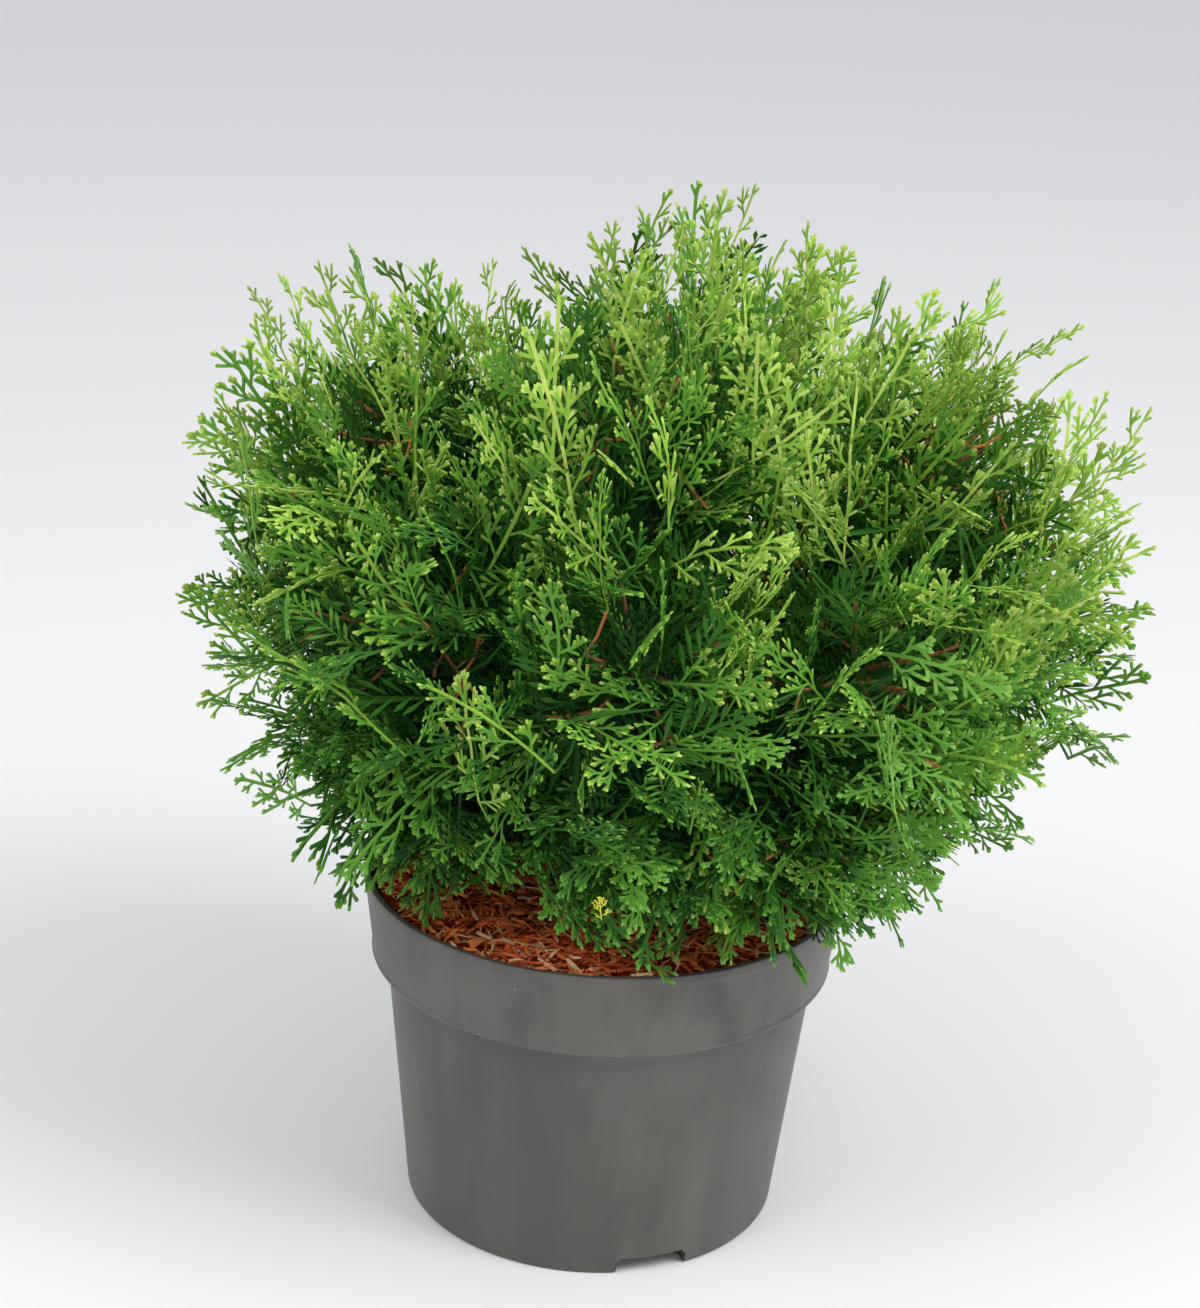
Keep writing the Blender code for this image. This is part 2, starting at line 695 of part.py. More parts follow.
def join_parts(name, first, parts, collection, material):
    """One solid from a collection's objects, which are then removed."""
    base = add_object(name, first.data.copy(), collection)
    bpy.data.objects.remove(first)
    union = base.modifiers.new("join", "BOOLEAN")
    union.operation = "UNION"
    union.operand_type = "COLLECTION"
    union.collection = parts
    union.solver = "MANIFOLD"
    mesh = applied_mesh(base)
    base.modifiers.clear()
    mesh.materials.clear()
    mesh.materials.append(material)
    base.data = mesh
    for thing in list(parts.objects):
        bpy.data.objects.remove(thing)
    bpy.data.collections.remove(parts)
    keep_outer_shell(mesh)
    return base


def shell_volume(faces):
    """The signed volume inside a group of faces."""
    total = 0.0
    for face in faces:
        corners = [loop.vert.co for loop in face.loops]
        for second, third in zip(corners[1:], corners[2:]):
            total += corners[0].dot(second.cross(third)) / 6.0
    return total


def keep_outer_shell(mesh):
    """Drops loose scraps and fills sealed hollows: only the largest shell stays."""
    shape = bmesh.new()
    shape.from_mesh(mesh)
    groups = []
    seen = set()
    for start in shape.faces:
        if start in seen:
            continue
        seen.add(start)
        group, queue = [], [start]
        while queue:
            face = queue.pop()
            group.append(face)
            for edge in face.edges:
                for near in edge.link_faces:
                    if near not in seen:
                        seen.add(near)
                        queue.append(near)
        groups.append(group)
    groups.sort(key=shell_volume)
    scraps = [face for group in groups[:-1] for face in group]
    bmesh.ops.delete(shape, geom=scraps, context="FACES")
    loose = [vertex for vertex in shape.verts if not vertex.link_faces]
    bmesh.ops.delete(shape, geom=loose, context="VERTS")
    shape.to_mesh(mesh)
    shape.free()


def main():
    for thing in list(bpy.data.objects):
        bpy.data.objects.remove(thing)
    plant = bpy.data.collections.new("potted_arborvitae")
    cutters = bpy.data.collections.new("cutters")
    for collection in (plant, cutters):
        bpy.context.scene.collection.children.link(collection)
    plastic = make_material("pot_plastic", POT_GREY, 0.45)
    soil = make_material("soil", SOIL_BROWN, 0.95)
    shreds = make_material("bark_mulch", MULCH_RED_BROWN, 0.9)
    bark = make_material("bark", BARK_BROWN, 0.85)
    green = make_material("foliage", FOLIAGE_GREEN, 0.6)
    make_pot(plant, cutters, plastic)
    make_root_ball(plant, soil)
    make_mulch(plant, shreds)
    make_stem(plant, bark)
    masses = [Mass(index, row) for index, row in enumerate(MASSES)]
    spaces = Spaces(masses)
    blade = make_spray_mesh(cutters)
    for mass in masses:
        make_bough(mass, plant, bark)
        grow_mass(mass, spaces, blade, plant, green)


main()
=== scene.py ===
"""Looks of the potted eastern arborvitae: sprays of scale leaves, twigs, bark, mulch and pot.

Units are metres, in the same frame as the solids: the origin is the centre of the pot's flat
underside, +Z is up and -Y is the front of the plant.
"""

import math
import random

import bmesh
import bpy
import numpy as np
from mathutils import Matrix, Vector, noise


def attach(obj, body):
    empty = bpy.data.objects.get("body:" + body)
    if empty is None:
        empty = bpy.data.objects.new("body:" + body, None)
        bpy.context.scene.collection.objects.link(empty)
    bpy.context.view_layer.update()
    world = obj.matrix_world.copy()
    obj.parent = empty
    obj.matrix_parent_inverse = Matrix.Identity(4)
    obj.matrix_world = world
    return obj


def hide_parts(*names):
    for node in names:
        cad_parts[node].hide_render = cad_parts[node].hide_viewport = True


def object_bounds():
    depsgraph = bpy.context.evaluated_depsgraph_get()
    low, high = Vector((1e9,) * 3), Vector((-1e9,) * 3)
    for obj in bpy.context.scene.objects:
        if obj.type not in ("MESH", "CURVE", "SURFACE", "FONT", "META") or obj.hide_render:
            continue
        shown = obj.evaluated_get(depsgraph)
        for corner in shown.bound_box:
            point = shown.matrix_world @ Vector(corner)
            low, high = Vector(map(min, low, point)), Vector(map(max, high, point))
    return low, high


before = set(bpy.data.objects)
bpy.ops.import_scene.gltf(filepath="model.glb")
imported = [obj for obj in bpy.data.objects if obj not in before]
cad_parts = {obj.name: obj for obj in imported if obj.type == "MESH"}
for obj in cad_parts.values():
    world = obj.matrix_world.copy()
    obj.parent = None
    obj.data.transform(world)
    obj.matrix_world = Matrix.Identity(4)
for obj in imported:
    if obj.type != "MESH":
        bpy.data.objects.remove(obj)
CAD_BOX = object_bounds()

# The photograph's frame and its camera
PHOTO_HEIGHT = 1308
FOCAL_PIXELS = 3000.0
SENSOR = 36.0
CAMERA_SPOT = (-0.0072, -1.2362, 0.7414)
CAMERA_PITCH = 21.12
CAMERA_ROLL = 2.93
VIEW_END = 50.0

# Pot, as the solids have it
POT_HEIGHT = 0.16
RIM_RADIUS = 0.1092
COLLAR_FOOT_RADIUS = 0.104
COLLAR_FOOT_Z = 0.12
BODY_TOP_RADIUS = 0.0973
BODY_TOP_Z = 0.117
FOOT_RADIUS = 0.0854
WALL = 0.002
LIP = 0.003
LIP_DEPTH = 0.012
FLOOR = 0.003
EDGE = 0.001
INNER_EDGE = 0.0009
EDGE_STEPS = 3
EDGE_LIMIT = 0.45

# Mouldings, as steps out and up from the rim, the collar's foot, the body's top and the foot
RIM_BAND = 0.004
RIM_BAND_STEP = 0.0006
BEAD = ((0.0003, 0.003), (0.001, 0.0016), (0.0004, 0.0))
SHOULDER = ((0.001, 0.0004), (0.0, -0.003))
COLLAR_INSET = 0.001
FOOT_CHAMFER = (0.0012, 0.0015)

# Drainage notches
NOTCH_COUNT = 3
NOTCH_FIRST_TURN = 20.5
NOTCH_WIDTH = 0.033
NOTCH_HEIGHT = 0.008
NOTCH_DEPTH = 0.012
NOTCH_SKIN = 0.002
NOTCH_EDGE = 0.0016
NOTCH_DROP = 0.006
NOTCH_OVERRUN = 0.01
POCKET_FOOT = 0.4
POT_STEPS = 144
MERGE_DISTANCE = 0.00002
SHARP_ANGLE = 38.0

# Mulch
MULCH_EDGE_Z = 0.154
MULCH_CROWN = 0.004
MULCH_FLAT_RADIUS = 0.024
MULCH_RADIUS = 0.1045
MULCH_DEPTH = 0.006
MULCH_RINGS = 26
MULCH_SIDES = 96
MULCH_SEED = 77
GROUND_SINK = 0.0008
GROUND_LUMPS = ((110.0, 0.0014), (330.0, 0.0008))
# The ground seen between the splinters takes the dark shreds' slot: painted shade deep in the mulch
GROUND_SHADE_SLOT = 1
SHRED_COUNT = 4300
SHRED_SIZES = (
    ((0.003, 0.008), (0.0008, 0.002)),
    ((0.007, 0.017), (0.0008, 0.0019)),
    ((0.006, 0.013), (0.002, 0.003)),
    ((0.02, 0.036), (0.0012, 0.002)),
    ((0.009, 0.015), (0.004, 0.006)),
)
SHRED_SIZE_SHARES = (0.57, 0.33, 0.07, 0.02, 0.01)
SHRED_BEND = 0.12
SHRED_ARCH = (-0.03, 0.08)
SHRED_FOOT_GIRTH = (0.3, 0.6)
SHRED_TIP_GIRTH = (0.2, 0.55)
SHRED_FLATNESS = 0.7
SHRED_WALL_SHARE = 0.42
SHRED_RISE = (-0.0006, 0.003)
SHRED_PITCH = 0.22
SHRED_ROLL = 0.5
SHRED_SIDES = 3

# Stem and boughs
STEM_FOOT = Vector((0.006, 0.004, 0.0))
STEM_LEAN = Vector((0.01, 0.004, 0.0))
STEM_HEIGHT = 0.145
STEM_FOOT_RADIUS = 0.0118
STEM_TOP_RADIUS = 0.0042
STEM_RINGS = 48
STEM_SIDES = 48
STEM_BUNCHING = 1.3
STEM_TAPER = 0.8
FLARE_RADIUS = 0.0075
FLARE_HEIGHT = 0.013
FLARE_RIBS = 4
FLARE_TURN = 0.6
FLARE_LEVEL = 0.55
FLARE_SWING = 0.45
RIDGE_PITCH = (3.2, 2.4)
RIDGE_RELIEF = 0.07
SEAT_GAP = 0.0003
BOUGH_FOOT_RADIUS = 0.003
BOUGH_TIP_RADIUS = 0.0017
BOUGH_POINTS = 4
BOUGH_STUB = 0.005
BOUGH_RIM_STEPS = 8
BOUGH_RISE = 0.45
BOUGH_END = 0.72
BOUGH_HEIGHTS = (0.215, 0.4)
BOUGH_SHARES = (0.06, 0.93)
BOUGH_STAGGER = 0.035
BOUGH_BUNCHING = 0.9
BOUGH_STEPS = 14
BOUGH_SIDES = 10
BOUGH_KNOTS = (0.9, 1.08)
BOUGH_SEED = 31

# Growth inside a mass of foliage
FIRST_SEED = 500
TWIG_COUNT = 7
TWIG_LEANS = (20.0, 104.0)
TWIG_BUNCHING = 0.75
TWIG_SPIN = 40.0
TWIG_JITTER = 0.2
TWIG_FORK = 0.15
TWIG_SAG = 0.003
TWIG_STEPS = 6
TWIG_SIDES = 5
LEADER_END = 0.35
GOLDEN_TURN = 137.5
LEADER_RADIUS = 0.0017
TWIG_RADIUS = 0.0012
SHOOT_RADIUS = 0.0007
SHOOT_BEND = 0.004
SHOOT_SIDES = 3
TWIG_REACH = 0.55
MASS_REACH = 1.25
LEVEL_HEIGHTS = (0.235, 0.365)
FLOW_SOURCE = Vector((0.01, 0.0, 0.205))
FLOW_SHARE = 0.6
FLOW_SPREAD = 0.58
SIDE_SWING = 0.65
FLAT_ROLL = 0.7
LIFTS = (-0.08, 0.45)
DROOPS = (3.0, -0.5)
DROOP_JITTER = 1.5
SPREAD_JITTER = 0.25

# Layers of sprays: tries for each mass, how deep their tips lie, and how dark they are in steps of painted
# shade; the middle and inner layers are dark combs, painted shade inside the crown
OUTER_LAYER = (145, 0.64, 1.03, 0)
MIDDLE_LAYER = (110, 0.45, 0.8, 1)
INNER_LAYER = (44, 0.15, 0.5, 2)
HIDDEN_SHARE = 0.8
TOP_OPENNESS = 0.2
SPRAY_SCALE = (0.64, 1.1)
FRINGE = (0.004, 0.03)
SPRAY_SEED = 900
HALFWAY = 0.6
BOX_INSET = 0.005
TOP_INSET = 0.002

# The pot's rim as sprays clear it: where it starts and ends beside the rim's radius, and how high
RIM_INSIDE = 0.012
RIM_OUTSIDE = 0.005
RIM_CLEARANCE = 0.004
OUTER_CLEARANCE = 0.002

# Kinds of spray: length, bare share at the foot, branchlet spacing, and reach on either side
FAN = (0.055, 0.1, 0.0076, 0.45, 0.45)
LEADER = (0.076, 0.2, 0.01, 0.4, 0.4)
HANGING = (0.06, 0.1, 0.0078, 0.44, 0.34)
COMB_LENGTH = 0.048
FAN_GROUP, LEADER_GROUP, HANGING_GROUP, COMB_GROUP = range(4)
KINDS_OF_EACH = 8
KIND_SEEDS = (40, 60, 80)
COMB_SEED = 120
SPRAY_LENGTHS = (FAN[0], LEADER[0], HANGING[0], COMB_LENGTH)
LEADER_CHANCE = 0.26
LEADER_LEVELS = (0.4, 1.6)
LEADER_STRETCH = 0.1
HANGING_CHANCE = 0.25
HANGING_SWING = 0.45

# Axis and branchlets: leans are for the foot, their fall towards the tip, and a stray
SPRAY_BEND = 0.35
SPRAY_END = 0.007
BRANCHLET_LEAN = (48.0, 14.0, 9.0)
BRANCHLET_TRIM = (0.6, 1.2)
BRANCHLET_PROFILE = (0.5, 1.7, 0.45)
LEAST_BRANCHLET = 0.0066
LAST_BRANCHLET = (0.008, 0.01)
SPACING_TRIM = (0.75, 1.25)
AXIS_WIDTH = 0.0018
AXIS_RINGS = 6
STALK_RINGS = 3
FINGER_RINGS = 2
STALK_WIDTH = 0.0016
FINGER_WIDTH = 0.0016
FINGER_SPACING = (0.0038, 0.0056)
FINGER_LENGTH = (0.0038, 0.0068)
FINGER_LEAN = (28.0, 42.0)
FINGER_SHRINK = (1.15, 0.4)
FIRST_FINGER = (0.26, 0.0032)
LAST_FINGER = 0.004
SWAP_CHANCE = 0.7
END_FINGER_BACK = 0.0026
END_FINGER_LEAN = (20.0, 36.0)
END_FINGER_LENGTH = (0.003, 0.0042)
TIP_FINGER_LENGTH = (0.0036, 0.0048)
END_FINGER_CHANCE = 0.5

# Form of bars, forks and the spray's plane: its wave has a pitch, a range of starts and a height
THICKNESS_SHARE = 0.6
BLUNT_SHARES = (0.4, 0.3)
FOOT_NARROWING = 0.12
FORK_SIZE = 0.013
FORK_PLACE = (0.3, 0.5)
FORK_TURN = (34.0, 46.0)
FORK_SHARE = (0.42, 0.58)
STALK_BEND = 16.0
STALK_BEND_TRIM = (0.4, 1.4)
CURL = 4.0
CUP = 8.0
WAVE = (140.0, 6.0, 0.0007)
COMB_BLADES = 15
COMB_BLADE_WIDTH = 0.0023
COMB_AXIS_SHARE = 0.8
COMB_FIRST = 0.6
COMB_FILL = 0.95
COMB_REACH = 0.44
COMB_TRIM = (0.7, 1.15)
COMB_JITTER = 8.0
COMB_LIFT = 0.0002
BLADE_SHOULDER = 0.7
RUST_CHANCE = 0.1
RUST_LENGTH = 0.03

# Masses: name, turn from the front, distance from the crown's axis, height, size and how tall for its width
MASSES = (
    ("low_front_left", -57, 0.104, 0.227, 0.056, 0.86),
    ("low_front", 4, 0.086, 0.226, 0.06, 0.84),
    ("low_front_right", 48, 0.104, 0.221, 0.062, 0.84),
    ("low_right", 97, 0.116, 0.228, 0.064, 0.84),
    ("low_back_right", 150, 0.108, 0.226, 0.068, 0.84),
    ("low_back_left", -155, 0.106, 0.226, 0.068, 0.84),
    ("low_left", -109, 0.104, 0.216, 0.058, 0.86),
    ("side_front_left", -52, 0.118, 0.304, 0.07, 1.0),
    ("side_front", 0, 0.113, 0.304, 0.07, 1.0),
    ("side_front_right", 47, 0.13, 0.298, 0.072, 1.0),
    ("side_right", 90, 0.148, 0.298, 0.07, 1.0),
    ("side_back_right", 134, 0.13, 0.3, 0.074, 1.0),
    ("side_back", 180, 0.12, 0.3, 0.074, 1.0),
    ("side_back_left", -134, 0.12, 0.3, 0.072, 1.0),
    ("side_left", -93, 0.128, 0.304, 0.068, 1.0),
    ("top_left", -90, 0.107, 0.361, 0.064, 1.0),
    ("top_front", -4, 0.054, 0.388, 0.066, 1.0),
    ("top_right", 84, 0.126, 0.359, 0.065, 1.0),
    ("top_back", 150, 0.056, 0.378, 0.07, 1.0),
)
CROWN_AXIS_X = 0.008
CROWN_MIDDLE = Vector((0.01, 0.0, 0.285))

# One small yellow sprig low at the front
SPRIG_MASS = "foliage_low_front"
SPRIG_ROOT = Vector((-0.001, -0.138, 0.201))
SPRIG_WAY = Vector((-0.06, -0.3, 0.75)).normalized()
SPRIG_SCALE = 0.3

# Base colours, linear
# leaf_deep to leaf_tip are darker and lighter copies of one green, painted shade and painted light, as well
# as truly paler tips; the two cooler greens after them are shaded copies of the bright and tip greens,
# painted shade
LEAF_COLOURS = (
    ("leaf_deep", (0.012, 0.062, 0.007)),
    ("leaf_shade", (0.036, 0.138, 0.014)),
    ("leaf_mid", (0.105, 0.275, 0.028)),
    ("leaf_bright", (0.22, 0.4, 0.044)),
    ("leaf_tip", (0.405, 0.55, 0.105)),
    ("leaf_bright_shaded", (0.125, 0.315, 0.04)),
    ("leaf_tip_shaded", (0.215, 0.425, 0.075)),
    ("leaf_gold", (0.9, 0.78, 0.08)),
)

# Slots from dark to bright, of which a spray takes three in a row; the cool ladder's brighter slots are the
# shaded greens, painted shade
WARM_LADDER = (0, 1, 2, 3, 4, 4)
COOL_SHADE_LADDER = (0, 1, 2, 5, 6, 6)
GOLD_TONES = (7, 7, 7)

# How bright a spray is: painted light by its height and to the right, painted shade by its depth and by its
# layer, and by chance; lower down it more often takes the cool ladder's shaded greens
LIGHT_HEIGHT = 0.29
LIGHT_SPAN = 0.16
TONE_LEVEL = 1.95
PAINTED_LIGHT_LIFT = 0.88
PAINTED_LIGHT_RIGHT = 4.2
PAINTED_SHADE_DEPTH = 3.0
TONE_JITTER = 0.8
PAINTED_SHADE_LAYER = 0.3
LAST_TONE = 3
TONES_OF_EACH = 3
WARM_SHARE = 0.65
WARM_LIFT = 1.2
LAST_SHADE = 2

RUST_SLOT = len(LEAF_COLOURS)
SHRED_COLOURS = (
    ("shred_red", (0.8, 0.15, 0.034)),
    ("shred_dark", (0.26, 0.036, 0.01)),
    ("shred_orange", (1.000, 0.31, 0.085)),
    ("shred_pale", (1.000, 0.6, 0.34)),
    ("shred_brown", (0.48, 0.1, 0.03)),
)
SHRED_SHARES = (0.35, 0.13, 0.28, 0.15, 0.09)
BARK_COLOUR = (0.32, 0.12, 0.052)
TWIG_BARK_COLOUR = (0.48, 0.16, 0.055)
POT_COLOUR = (0.087, 0.083, 0.075)
POT_PALE = (0.132, 0.127, 0.116)
COLLAR_COLOUR = (0.109, 0.102, 0.092)
DUST_COLOUR = (0.36, 0.35, 0.33)
SOIL_COLOUR = (0.03, 0.018, 0.012)
FLOOR_COLOUR = (0.8, 0.8, 0.79)
WORLD_COLOUR = (0.93, 0.95, 1.000)
BLACK = (0.0, 0.0, 0.0)
WHITE = (1.0, 1.0, 1.0)

# Patterns of noise: scale, detail and stretch
EVEN = (1.0, 1.0, 1.0)
POT_STREAKS = (26.0, 6.0, (1.0, 1.0, 0.12))
POT_MARKS = (44.0, 9.0, (1.0, 1.0, 0.55))
POT_SPECKS = (420.0, 1.0, EVEN)
POT_HAZE = (35.0, 4.0, EVEN)
POT_GRAIN = (1400.0, 2.0, EVEN)

# The pot's finish: gloss, tones over the streaks, where marks and specks start and are full, and relief
POT_GLOSS = (0.42, 0.45)
POT_ROUGHNESS = (0.36, 0.55)
BODY_TONES = (0.3, 0.5, 0.78)
BODY_SHADE = 0.86
COLLAR_TONES = ((0.35, 0.9), (0.65, 1.12))
MARK_LEVELS = (0.47, 0.74)
MARK_SHADE = 0.8
SPECK_LEVELS = (0.8, 0.84)
POT_RELIEF = (0.1, 0.0002)

# Finishes: roughness and specular level, pattern, its tones as (place, share), a pattern for the relief
# where it is another one, and the relief's strength and depth
LEAF_FINISH = ((0.58, 0.16), (60.0, 2.0, EVEN), ((0.3, 0.86), (0.7, 1.16)),
               (900.0, 2.0, EVEN), (0.35, 0.0003))
BARK_FINISH = ((0.82, 0.25), (320.0, 5.0, (1.0, 1.0, 0.22)), ((0.3, 0.38), (0.52, 1.0), (0.75, 1.5)),
               None, (0.6, 0.0006))
SHRED_FINISH = ((0.88, 0.22), (420.0, 4.0, EVEN), ((0.25, 0.55), (0.5, 1.0), (0.8, 1.45)),
                None, (0.5, 0.0005))
SOIL_FINISH = ((0.95, 0.2), (500.0, 6.0, EVEN), ((0.35, 0.5), (0.65, 1.8)), None, (0.8, 0.001))

# Studio: lights with their place, size and power
FLOOR_RADIUS = 9.0
FLOOR_SIDES = 64
FLOOR_GLOSS = (0.6, 0.3)
WORLD_STRENGTH = 0.76
LIGHTS = (("key", (1.5, -0.9, 2.1), 1.2, 42.0), ("fill", (-1.2, -1.1, 2.1), 1.2, 20.0))


# Materials

def shader_material(name, colour, roughness, specular):
    """A Principled material, its node tree and its shader."""
    material = bpy.data.materials.new(name)
    material.use_nodes = True
    tree = material.node_tree
    shader = tree.nodes["Principled BSDF"]
    shader.inputs["Base Color"].default_value = (*colour, 1.0)
    shader.inputs["Roughness"].default_value = roughness
    shader.inputs["Specular IOR Level"].default_value = specular
    return material, tree, shader


def add_noise(tree, scale, detail, stretch):
    """A noise texture on object coordinates, stretched along the axes."""
    place = tree.nodes.new("ShaderNodeTexCoord")
    mapping = tree.nodes.new("ShaderNodeMapping")
    mapping.inputs["Scale"].default_value = stretch
    pattern = tree.nodes.new("ShaderNodeTexNoise")
    pattern.inputs["Scale"].default_value = scale
    pattern.inputs["Detail"].default_value = detail
    tree.links.new(place.outputs["Object"], mapping.inputs["Vector"])
    tree.links.new(mapping.outputs["Vector"], pattern.inputs["Vector"])
    return pattern.outputs["Fac"]


def add_ramp(tree, factor, stops):
    """A colour ramp over a factor, from (place, colour) stops."""
    ramp = tree.nodes.new("ShaderNodeValToRGB")
    while len(ramp.color_ramp.elements) < len(stops):
        ramp.color_ramp.elements.new(0.5)
    for element, (place, colour) in zip(ramp.color_ramp.elements, stops):
        element.position = place
        element.color = (*colour, 1.0)
    tree.links.new(factor, ramp.inputs["Fac"])
    return ramp.outputs["Color"]


def add_bump(tree, shader, factor, strength, distance):
    """Bump from a factor."""
    bump = tree.nodes.new("ShaderNodeBump")
    bump.inputs["Strength"].default_value = strength
    bump.inputs["Distance"].default_value = distance
    tree.links.new(factor, bump.inputs["Height"])
    tree.links.new(bump.outputs["Normal"], shader.inputs["Normal"])


def shade_stops(colour, tones):
    """Stops of a ramp: shades of a colour from (place, share) tones."""
    return [(place, shaded(colour, share)) for place, share in tones]


def shaded(colour, share):
    """A colour scaled by a share, kept within 1."""
    return tuple(min(part * share, 1.0) for part in colour)


def grown_material(name, colour, finish):
    """A material whose tone and relief follow a pattern: leaves, bark, shreds or soil."""
    gloss, pattern, tones, relief_pattern, relief = finish
    material, tree, shader = shader_material(name, colour, *gloss)
    factor = add_noise(tree, *pattern)
    tree.links.new(add_ramp(tree, factor, shade_stops(colour, tones)), shader.inputs["Base Color"])
    if relief_pattern:
        factor = add_noise(tree, *relief_pattern)
    add_bump(tree, shader, factor, *relief)
    return material


def add_mix(tree, factor, first, second):
    """Mixes two colours, each a socket or a colour, by a factor."""
    mix = tree.nodes.new("ShaderNodeMix")
    mix.data_type = "RGBA"
    tree.links.new(factor, mix.inputs["Factor"])
    for name, colour in (("A", first), ("B", second)):
        if isinstance(colour, tuple):
            mix.inputs[name].default_value = (*colour, 1.0)
        else:
            tree.links.new(colour, mix.inputs[name])
    return mix.outputs["Result"]


def add_collar_share(tree):
    """A factor that rises from 0 on the pot's body to 1 on its collar."""
    place = tree.nodes.new("ShaderNodeTexCoord")
    parts = tree.nodes.new("ShaderNodeSeparateXYZ")
    share = tree.nodes.new("ShaderNodeMapRange")
    share.inputs["From Min"].default_value = BODY_TOP_Z
    share.inputs["From Max"].default_value = COLLAR_FOOT_Z
    tree.links.new(place.outputs["Object"], parts.inputs["Vector"])
    tree.links.new(parts.outputs["Z"], share.inputs["Value"])
    return share.outputs["Result"]


def add_patches(tree, pattern, levels):
    """A factor that is 1 in patches: above the second of two levels of a pattern."""
    low, high = levels
    return add_ramp(tree, add_noise(tree, *pattern), ((low, BLACK), (high, WHITE)))


def pot_material():
    """Moulded grey plastic: a lighter collar, water marks, dust specks and a satin gloss."""
    material, tree, shader = shader_material("pot_plastic", POT_COLOUR, *POT_GLOSS)
    streaks = add_noise(tree, *POT_STREAKS)
    body_colours = (shaded(POT_COLOUR, BODY_SHADE), POT_COLOUR, POT_PALE)
    body = add_ramp(tree, streaks, tuple(zip(BODY_TONES, body_colours)))
    collar = add_ramp(tree, streaks, shade_stops(COLLAR_COLOUR, COLLAR_TONES))
    base = add_mix(tree, add_collar_share(tree), body, collar)
    marks = add_patches(tree, POT_MARKS, MARK_LEVELS)
    base = add_mix(tree, marks, base, shaded(POT_COLOUR, MARK_SHADE))
    specks = add_patches(tree, POT_SPECKS, SPECK_LEVELS)
    tree.links.new(add_mix(tree, specks, base, DUST_COLOUR), shader.inputs["Base Color"])
    rough = tree.nodes.new("ShaderNodeMapRange")
    rough.inputs["To Min"].default_value = POT_ROUGHNESS[0]
    rough.inputs["To Max"].default_value = POT_ROUGHNESS[1]
    tree.links.new(add_noise(tree, *POT_HAZE), rough.inputs["Value"])
    tree.links.new(rough.outputs["Result"], shader.inputs["Roughness"])
    add_bump(tree, shader, add_noise(tree, *POT_GRAIN), *POT_RELIEF)
    return material


# Mesh helpers

def add_object(name, data):
    """A new object in the scene."""
    item = bpy.data.objects.new(name, data)
    bpy.context.scene.collection.objects.link(item)
    return item


def shape_mesh(name, shape):
    """The mesh of a finished bmesh shape."""
    mesh = bpy.data.meshes.new(name)
    shape.to_mesh(mesh)
    shape.free()
    return mesh


def add_piece(name, mesh, materials):
    """An object for a mesh, riding on the only body."""
    for material in materials:
        mesh.materials.append(material)
    piece = add_object(name, mesh)
    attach(piece, "root")
    return piece


class Heap:
    """Collects the points, triangles and slots of many small solids for one mesh."""

    def __init__(self):
        self.points = []
        self.triangles = []
        self.slots = []
        self.total = 0

    def add(self, points, triangles, slots):
        """Adds one solid, with one slot for all its triangles or a slot for each."""
        self.points.append(points)
        self.triangles.append(triangles + self.total)
        self.slots.append(np.full(len(triangles), slots))
        self.total += len(points)

    def mesh(self, name, smooth=False):
        """A mesh of all that was added, with a material slot for each triangle."""
        mesh = bpy.data.meshes.new(name)
        points = np.concatenate(self.points)
        triangles = np.concatenate(self.triangles)
        slots = np.concatenate(self.slots)
        count = len(triangles)
        mesh.vertices.add(len(points))
        mesh.vertices.foreach_set("co", points.astype(np.float32).ravel())
        mesh.loops.add(count * 3)
        mesh.loops.foreach_set("vertex_index", triangles.astype(np.int32).ravel())
        mesh.polygons.add(count)
        mesh.polygons.foreach_set("loop_start", np.arange(0, count * 3, 3, dtype=np.int32))
        mesh.polygons.foreach_set("material_index", slots.astype(np.int32))
        mesh.polygons.foreach_set("use_smooth", np.full(count, smooth))
        mesh.update(calc_edges=True)
        return mesh


def ring_triangles(rings, sides):
    """Triangles of a closed tube: a first point, rings of points, and a last point."""
    triangles = []
    for side in range(sides):
        after = (side + 1) % sides
        triangles.append((0, 1 + after, 1 + side))
        for ring in range(rings - 1):
            low = 1 + ring * sides
            high = low + sides
            triangles += [(low + side, low + after, high + after), (low + side, high + after, high + side)]
        last = 1 + (rings - 1) * sides
        triangles.append((last + side, last + after, 1 + rings * sides))
    return np.array(triangles, dtype=np.int32)


def tube(path, radii, sides):
    """A closed round limb along a path: its points and triangles."""
    path = [Vector(point) for point in path]
    points = [path[0]]
    normal = (path[1] - path[0]).orthogonal().normalized()
    for step, (spot, radius) in enumerate(zip(path, radii)):
        before = path[max(step - 1, 0)]
        after = path[min(step + 1, len(path) - 1)]
        way = (after - before).normalized()
        normal = (normal - way * normal.dot(way)).normalized()
        side_way = way.cross(normal)
        for side in range(sides):
            angle = math.tau * side / sides
            points.append(spot + (normal * math.cos(angle) + side_way * math.sin(angle)) * radius)
    points.append(path[-1])
    return np.array([tuple(point) for point in points]), ring_triangles(len(path), sides)


# Growth, by the solids' rule

def between(low, high, share):
    """The value at a share of the way from low to high."""
    return low + (high - low) * share


def share_of(value, low, high):
    """How far a value lies on the way from low to high, kept within 0 and 1."""
    return min(max((value - low) / (high - low), 0.0), 1.0)


def around(turn, out, up):
    """A point by its turn from the front, its distance from the crown's axis and its height."""
    angle = math.radians(turn)
    return Vector((CROWN_AXIS_X + out * math.sin(angle), -out * math.cos(angle), up))


